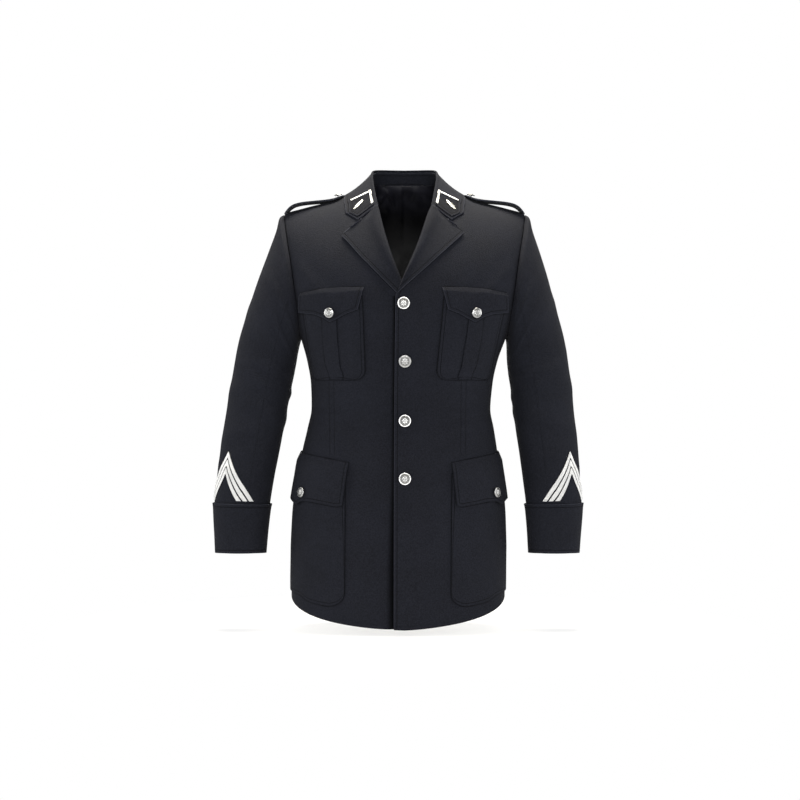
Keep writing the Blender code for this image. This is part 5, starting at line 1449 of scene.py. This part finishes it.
def hip_pocket(name, side, note=False):
    u, v = mesh_of(tight_ends(76), tight_ends(60))
    start = 0.0945 + HIP_SHIFT[name]
    girth = start + (0.2930 - start) * u
    top = height_of(HIP_FLAP_TOP, girth) - 0.020
    corner = np.maximum(0.0, 1 - np.minimum(u, 1 - u) / HIP_CORNER[0])
    bottom = height_of(HIP_POCKET_FOOT, girth) + HIP_CORNER[1] * (1 - np.sqrt(np.maximum(0.0, 1 - corner**2)))
    bulge = np.sin(math.pi * u)**0.5 * np.sin(math.pi * np.minimum(1.0, v * 0.9))**0.6
    laid("hip_pocket_" + name, side, girth, bottom + (top - bottom) * v, LAID_ON + 0.0013 + 0.0016 * bulge,
         0.0013, "left right low", note=note)
    u, v = mesh_of(even(110), np.concatenate([even(12, 0.0, 0.14), even(30, 0.17, 1.0)]))
    girth, z = between(HIP_FLAP_TOP, HIP_FLAP_EDGE, u, v)
    laid("hip_flap_" + name, side, girth, z, hip_flap_rise(u, v), TRIM_CLOTH, "left right low",
         -0.4, note)


def hip_flap_rise(u, v):
    """How far the hip flap's outer face stands off the front: most at its point."""
    spread = 0.0008 * np.sin(math.pi * np.minimum(1.0, (1 - v) / 1.5)) * np.sin(math.pi * u)
    flare = 0.0034 * (1 - v)**1.5 * np.exp(-((u - 0.52) / 0.20)**2)
    return LAID_ON + TRIM_CLOTH + 0.0040 * np.minimum(1.0, (1 - v) / 0.2) + spread + flare


def shoulder_strap(name, side):
    u, v = mesh_of(even(25), tight_ends(90))
    x = STRAP[0][0] + (STRAP[-1][0] - STRAP[0][0]) * v
    z, half, drop = np.moveaxis(smooth(STRAP, x), -1, 0)
    across = 2 * u - 1
    points = stacked(side * x, RIDGE_Y + half * across, z - drop * across * across)
    return cloth("shoulder_strap_" + name, points, stacked(0 * u, 0 * u, 1 + 0 * u), finish("tunic_wool"),
                 0.0023, edges="left right low")


# Buttons
BUTTON_PROFILE = (
    # share of the radius, height as a share of the radius: from the shank out over the rim to the crown
    (0.22, -0.26), (0.24, -0.06), (0.60, 0.00), (0.88, 0.03), (0.97, 0.07), (1.00, 0.115), (0.985, 0.165),
    (0.95, 0.195), (0.91, 0.200), (0.88, 0.190), (0.85, 0.200), (0.80, 0.230), (0.74, 0.262), (0.67, 0.292),
    (0.60, 0.318), (0.52, 0.342), (0.44, 0.360), (0.36, 0.375), (0.28, 0.386), (0.20, 0.394), (0.12, 0.399),
    (0.05, 0.401))


def button(name, place, way, width, gap=0.0003):
    """A domed metal button with a rolled rim, a beaded ring and a rosette."""
    r = width / 2
    petals = bpy.context.scene.tunic_trim.petals
    bm = bmesh.new()
    line = [bm.verts.new((r * a, 0.0, r * b)) for a, b in BUTTON_PROFILE]
    edges = [bm.edges.new(pair) for pair in zip(line, line[1:])]
    bmesh.ops.spin(bm, geom=line + edges, cent=(0, 0, 0), axis=(0, 0, 1), angle=math.tau, steps=96,
                   use_merge=True)
    bmesh.ops.remove_doubles(bm, verts=list(bm.verts), dist=1e-7)
    for end in (BUTTON_PROFILE[0], BUTTON_PROFILE[-1]):
        ring = [e for e in bm.edges if e.is_boundary and abs(e.verts[0].co.z - r * end[1]) < 1e-6]
        bmesh.ops.contextual_create(bm, geom=ring)
    bmesh.ops.recalc_face_normals(bm, faces=list(bm.faces))
    hollow = bm.verts.layers.float.new("hollow")
    for vert in bm.verts:
        reach = math.hypot(vert.co.x, vert.co.y) / r
        turn = math.atan2(vert.co.y, vert.co.x)
        if vert.co.z < 0.19 * r:
            continue
        petal = abs(math.cos(turn * petals / 2)) ** 0.8
        flower = math.exp(-((reach - 0.34 - 0.08 * petal) / 0.15)**2) * petal
        boss = math.exp(-(reach / 0.13)**2)
        beads = math.exp(-((reach - 0.70) / 0.040)**2) * (0.35 + 0.65 * max(0.0, math.cos(turn * 32)))
        relief = 0.045 * flower + 0.050 * boss + 0.040 * beads
        vert[hollow] = min(1.0, max(0.0, 1.0 - relief / 0.030)) if 0.10 < reach < 0.78 else 0.0
        vert.co.z += r * relief
    axis = Vector(way).normalized()
    turned = Vector((0, 0, 1)).rotation_difference(axis).to_matrix().to_4x4()
    turned.translation = Vector(place) + axis * (0.26 * r + gap)
    bmesh.ops.transform(bm, matrix=turned, verts=list(bm.verts))
    mesh = bpy.data.meshes.new(name)
    bm.to_mesh(mesh)
    bm.free()
    mesh.shade_smooth()
    mesh.set_sharp_from_angle(angle=math.radians(55))
    mesh.materials.append(finish("silvered_metal"))
    body = bpy.data.objects.new(name, mesh)
    bpy.context.scene.collection.objects.link(body)
    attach(body, "root")
    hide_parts(name)
    return body


def seat_on_flap(top, edge, side, u, v, lift, shift=0.0):
    """The place of a button on a flap, and the way out of it."""
    us, vs = mesh_of(u + np.array([-0.02, 0.0, 0.02]), v + np.array([-0.05, 0.0, 0.05]))
    girth, z = between(top, edge, us, vs, shift)
    points = drape(by_girth(side, girth, z))
    n = facing(points, from_chest(points))[1, 1]
    return points[1, 1] + n * lift, n


# Chevrons
def row_at_height(side, phi, z):
    """The sleeve's row at which each place has this height."""
    low, high = np.full(z.shape, 6.0), np.full(z.shape, SLEEVE_END)
    for _ in range(24):
        middle = (low + high) / 2
        below = sleeve_plain(side, phi, middle)[..., 2] > z
        low, high = np.where(below, middle, low), np.where(below, high, middle)
    return (low + high) / 2


def chevron(name, side, index):
    """A stripe of braid in a V that points up, low on the outside of the sleeve."""
    apex = STRIPE_APEX - STRIPE_STEP * index
    u, v = mesh_of(even(121), even(7))
    reach_top = ((apex - CUFF_TOP) / STRIPE_FALL)**(1 / STRIPE_BEND)
    reach_low = ((apex - STRIPE_HEIGHT - CUFF_TOP) / STRIPE_FALL)**(1 / STRIPE_BEND)
    across = (2 * u - 1) * (reach_low + (reach_top - reach_low) * v)
    soft = np.sqrt(across**2 + 0.0009) - 0.03 * (1 - np.abs(across))
    z = apex - STRIPE_FALL * np.abs(np.maximum(soft, 0.0))**STRIPE_BEND - STRIPE_HEIGHT * (1 - v)
    phi = (STRIPE_AXIS + STRIPE_SPREAD * across) % 1.0
    k = row_at_height(side, phi, z)
    points = sleeve_place(side, phi, k)
    points = raised(points, from_arm(side, points, k), np.full_like(k, 0.0016))
    return cloth("chevron_%s_%d" % (name, index + 1), points, from_arm(side, points, k), finish("white_braid"),
                 0.0010, edges="low high")


SIDES = (("left", 1.0), ("right", -1.0))


class MESH_OT_tunic_materials(bpy.types.Operator):
    """Makes the wool, satin, braid and metal of the tunic"""
    bl_idname = "mesh.tunic_materials"
    bl_label = "Materials"

    def execute(self, context):
        make_materials()
        return {"FINISHED"}


class MESH_OT_tunic_fronts(bpy.types.Operator):
    """Adds the two fronts"""
    bl_idname = "mesh.tunic_fronts"
    bl_label = "Fronts"

    def execute(self, context):
        for name, side in SIDES:
            for piece in (lapel, chest_pocket, hip_pocket):
                piece(name, side, note=True)
            front_panel(name, side)
        return {"FINISHED"}


class MESH_OT_tunic_backs(bpy.types.Operator):
    """Adds the two backs and the back lining"""
    bl_idname = "mesh.tunic_backs"
    bl_label = "Backs and lining"

    def execute(self, context):
        for name, side in SIDES:
            back_panel(name, side)
        back_lining()
        return {"FINISHED"}


class MESH_OT_tunic_sleeves(bpy.types.Operator):
    """Adds the top sleeves and undersleeves"""
    bl_idname = "mesh.tunic_sleeves"
    bl_label = "Sleeves"

    def execute(self, context):
        for name, side in SIDES:
            sleeve_half(name, side, True)
            sleeve_half(name, side, False)
        return {"FINISHED"}


class MESH_OT_tunic_cuffs(bpy.types.Operator):
    """Adds the turned-back cuffs"""
    bl_idname = "mesh.tunic_cuffs"
    bl_label = "Cuffs"

    def execute(self, context):
        for name, side in SIDES:
            cuff(name, side)
        return {"FINISHED"}


class MESH_OT_tunic_lapels(bpy.types.Operator):
    """Adds the two lapels"""
    bl_idname = "mesh.tunic_lapels"
    bl_label = "Lapels"

    def execute(self, context):
        for name, side in SIDES:
            lapel(name, side)
        return {"FINISHED"}


class MESH_OT_tunic_collar(bpy.types.Operator):
    """Adds the collar's stand and fall, and the patches, bars, cords and leaves on it"""
    bl_idname = "mesh.tunic_collar"
    bl_label = "Collar"

    def execute(self, context):
        tree = trunk_tree()
        collar_stand()
        collar_fall(tree)
        for name, side in SIDES:
            collar_trim(name, side, tree)
        return {"FINISHED"}


class MESH_OT_tunic_chest_pockets(bpy.types.Operator):
    """Adds the chest pockets with their pleats and flaps"""
    bl_idname = "mesh.tunic_chest_pockets"
    bl_label = "Chest pockets"

    def execute(self, context):
        for name, side in SIDES:
            chest_pocket(name, side)
        return {"FINISHED"}


class MESH_OT_tunic_hip_pockets(bpy.types.Operator):
    """Adds the hip pockets with their flaps"""
    bl_idname = "mesh.tunic_hip_pockets"
    bl_label = "Hip pockets"

    def execute(self, context):
        for name, side in SIDES:
            hip_pocket(name, side)
        return {"FINISHED"}


class MESH_OT_tunic_straps(bpy.types.Operator):
    """Adds the shoulder straps"""
    bl_idname = "mesh.tunic_straps"
    bl_label = "Shoulder straps"

    def execute(self, context):
        for name, side in SIDES:
            shoulder_strap(name, side)
        return {"FINISHED"}


class MESH_OT_tunic_buttons(bpy.types.Operator):
    """Adds the front, chest, hip and strap buttons"""
    bl_idname = "mesh.tunic_buttons"
    bl_label = "Buttons"

    def execute(self, context):
        trim = context.scene.tunic_trim
        for index, (x, z) in enumerate(BUTTON_PLACES):
            xs, zs = mesh_of(x + np.array([-0.004, 0.0, 0.004]), z + np.array([-0.004, 0.0, 0.004]))
            points = drape(front_face(1.0, xs, zs))
            n = facing(points, from_chest(points))[1, 1]
            button("front_button_%d" % (index + 1), points[1, 1], n, trim.front_button)
        for name, side in SIDES:
            place, n = seat_on_flap(CHEST_FLAP_TOP, CHEST_FLAP_EDGE, side, 0.432, 0.260,
                                    float(chest_flap_rise(0.260)), CHEST_SHIFT[name])
            button("chest_button_" + name, place, n, trim.pocket_button)
            place, n = seat_on_flap(HIP_FLAP_TOP, HIP_FLAP_EDGE, side, 0.410, 0.190,
                                    float(hip_flap_rise(0.410, 0.190)))
            button("hip_button_" + name, place, n, trim.pocket_button)
            z = float(smooth(STRAP, 0.1205)[0])
            button("strap_button_" + name, (side * 0.1205, RIDGE_Y, z), (side * 0.2, 0.0, 1.0),
                   trim.strap_button)
        return {"FINISHED"}


class MESH_OT_tunic_chevrons(bpy.types.Operator):
    """Adds the stripes of white braid on the sleeves"""
    bl_idname = "mesh.tunic_chevrons"
    bl_label = "Chevrons"

    def execute(self, context):
        for name, side in SIDES:
            for index in range(3):
                chevron(name, side, index)
        return {"FINISHED"}


class SCENE_OT_tunic_stage(bpy.types.Operator):
    """Adds the floor, the lights and the camera"""
    bl_idname = "scene.tunic_stage"
    bl_label = "Stage"

    def execute(self, context):
        scene = context.scene
        stage = scene.tunic_stage
        floor_mesh = bpy.data.meshes.new("floor")
        bm = bmesh.new()
        bmesh.ops.create_grid(bm, x_segments=2, y_segments=2, size=12.0)
        bmesh.ops.translate(bm, vec=(0, 0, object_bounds()[0][2] - stage.floor_gap), verts=list(bm.verts))
        bm.to_mesh(floor_mesh)
        bm.free()
        floor = bpy.data.objects.new("floor", floor_mesh)
        scene.collection.objects.link(floor)
        mat, tree, shader = shader_of("floor_paint")
        base = blend_colours(tree, noise(tree, 3.0, 3.0), (0.36, 0.36, 0.36), (0.39, 0.39, 0.39))
        place = tree.nodes.new("ShaderNodeTexCoord").outputs["Object"]
        reach = tree.nodes.new("ShaderNodeVectorMath")
        reach.operation = "LENGTH"
        tree.links.new(place, reach.inputs[0])
        # Painted light: the floor glows by its emission, pale grey near the tunic, which lightens the shade on it
        # there, and white further out, where its own colour fades to black.
        far = ranged(tree, reach.outputs["Value"], 0.80, 1.02)
        put(tree, blend_colours(tree, far, base, (0.0, 0.0, 0.0)), shader.inputs["Base Color"])
        put(tree, blend_colours(tree, far, (0.66, 0.66, 0.66), (1.0, 1.0, 1.0)), shader.inputs["Emission Color"])
        shader.inputs["Emission Strength"].default_value = 1.0
        shader.inputs["Roughness"].default_value = 1.0
        shader.inputs["Specular IOR Level"].default_value = 0.0
        floor_mesh.materials.append(mat)
        floor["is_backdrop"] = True

        world = bpy.data.worlds.new("studio")
        scene.world = world
        world.use_nodes = True
        tree = world.node_tree
        ground = next(n for n in tree.nodes if n.type == "BACKGROUND")
        ground.inputs["Color"].default_value = (1.0, 1.0, 1.0, 1.0)
        seen = tree.nodes.new("ShaderNodeLightPath").outputs["Is Camera Ray"]
        put(tree, ranged(tree, seen, 0.0, 1.0, stage.surroundings, 1.0), ground.inputs["Strength"])

        self.add_light(scene, "top_light", stage.top_light, 0.9, (0.0, 0.08, 1.4), (1.0, 0.94, 0.80))
        self.add_light(scene, "left_light", stage.side_light, 1.2, (-2.0, -0.30, -0.1))
        self.add_light(scene, "right_light", stage.side_light, 1.2, (2.0, -0.30, -0.1))
        self.add_light(scene, "front_light", stage.front_light, 1.6, (0.0, -3.4, 0.1))
        self.add_light(scene, "back_light", stage.front_light * 0.8, 1.6, (0.0, 3.2, 0.5))

        lens = bpy.data.cameras.new("camera")
        lens.sensor_width = SENSOR
        lens.lens = SENSOR * abs(CAMERA_PLACE[1]) / PHOTO_WIDTH
        camera = bpy.data.objects.new("camera", lens)
        camera.location = CAMERA_PLACE
        camera.rotation_euler = (math.pi / 2, 0.0, 0.0)
        scene.collection.objects.link(camera)
        scene.camera = camera
        scene.view_settings.view_transform = "Standard"
        return {"FINISHED"}

    def add_light(self, scene, name, power, size, place, colour=(1.0, 1.0, 1.0)):
        light = bpy.data.lights.new(name, "AREA")
        light.color = colour
        light.energy = power
        light.size = size
        lamp = bpy.data.objects.new(name, light)
        lamp.location = place
        lamp.rotation_euler = (Vector((0, 0, -0.3)) - Vector(place)).to_track_quat("-Z", "Y").to_euler()
        lamp.visible_camera = False
        scene.collection.objects.link(lamp)


STEPS = (
    MESH_OT_tunic_materials, MESH_OT_tunic_fronts, MESH_OT_tunic_backs, MESH_OT_tunic_sleeves,
    MESH_OT_tunic_cuffs, MESH_OT_tunic_lapels, MESH_OT_tunic_collar, MESH_OT_tunic_chest_pockets,
    MESH_OT_tunic_hip_pockets, MESH_OT_tunic_straps, MESH_OT_tunic_buttons, MESH_OT_tunic_chevrons,
    SCENE_OT_tunic_stage,
)


class VIEW3D_PT_tunic(bpy.types.Panel):
    """Lists the pieces of the tunic"""
    bl_idname = "VIEW3D_PT_tunic"
    bl_label = "Uniform tunic"
    bl_space_type = "VIEW_3D"
    bl_region_type = "UI"
    bl_category = "Tunic"

    def draw(self, context):
        for settings in (context.scene.tunic_cloth, context.scene.tunic_trim, context.scene.tunic_stage):
            for label in settings.bl_rna.properties.keys():
                if label not in ("rna_type", "name"):
                    self.layout.prop(settings, label)
        for step in STEPS:
            self.layout.operator(step.bl_idname)


SETTINGS = (("tunic_cloth", TunicCloth), ("tunic_trim", TunicTrim), ("tunic_stage", TunicStage))


def register():
    for name, settings in SETTINGS:
        bpy.utils.register_class(settings)
        setattr(bpy.types.Scene, name, PointerProperty(type=settings))
    for step in STEPS + (VIEW3D_PT_tunic,):
        bpy.utils.register_class(step)


def unregister():
    for step in reversed(STEPS + (VIEW3D_PT_tunic,)):
        bpy.utils.unregister_class(step)
    for name, settings in SETTINGS:
        delattr(bpy.types.Scene, name)
        bpy.utils.unregister_class(settings)


def main():
    register()
    for step in STEPS:
        group, label = step.bl_idname.split(".")
        getattr(getattr(bpy.ops, group), label)()


if __name__ == "__main__":
    main()
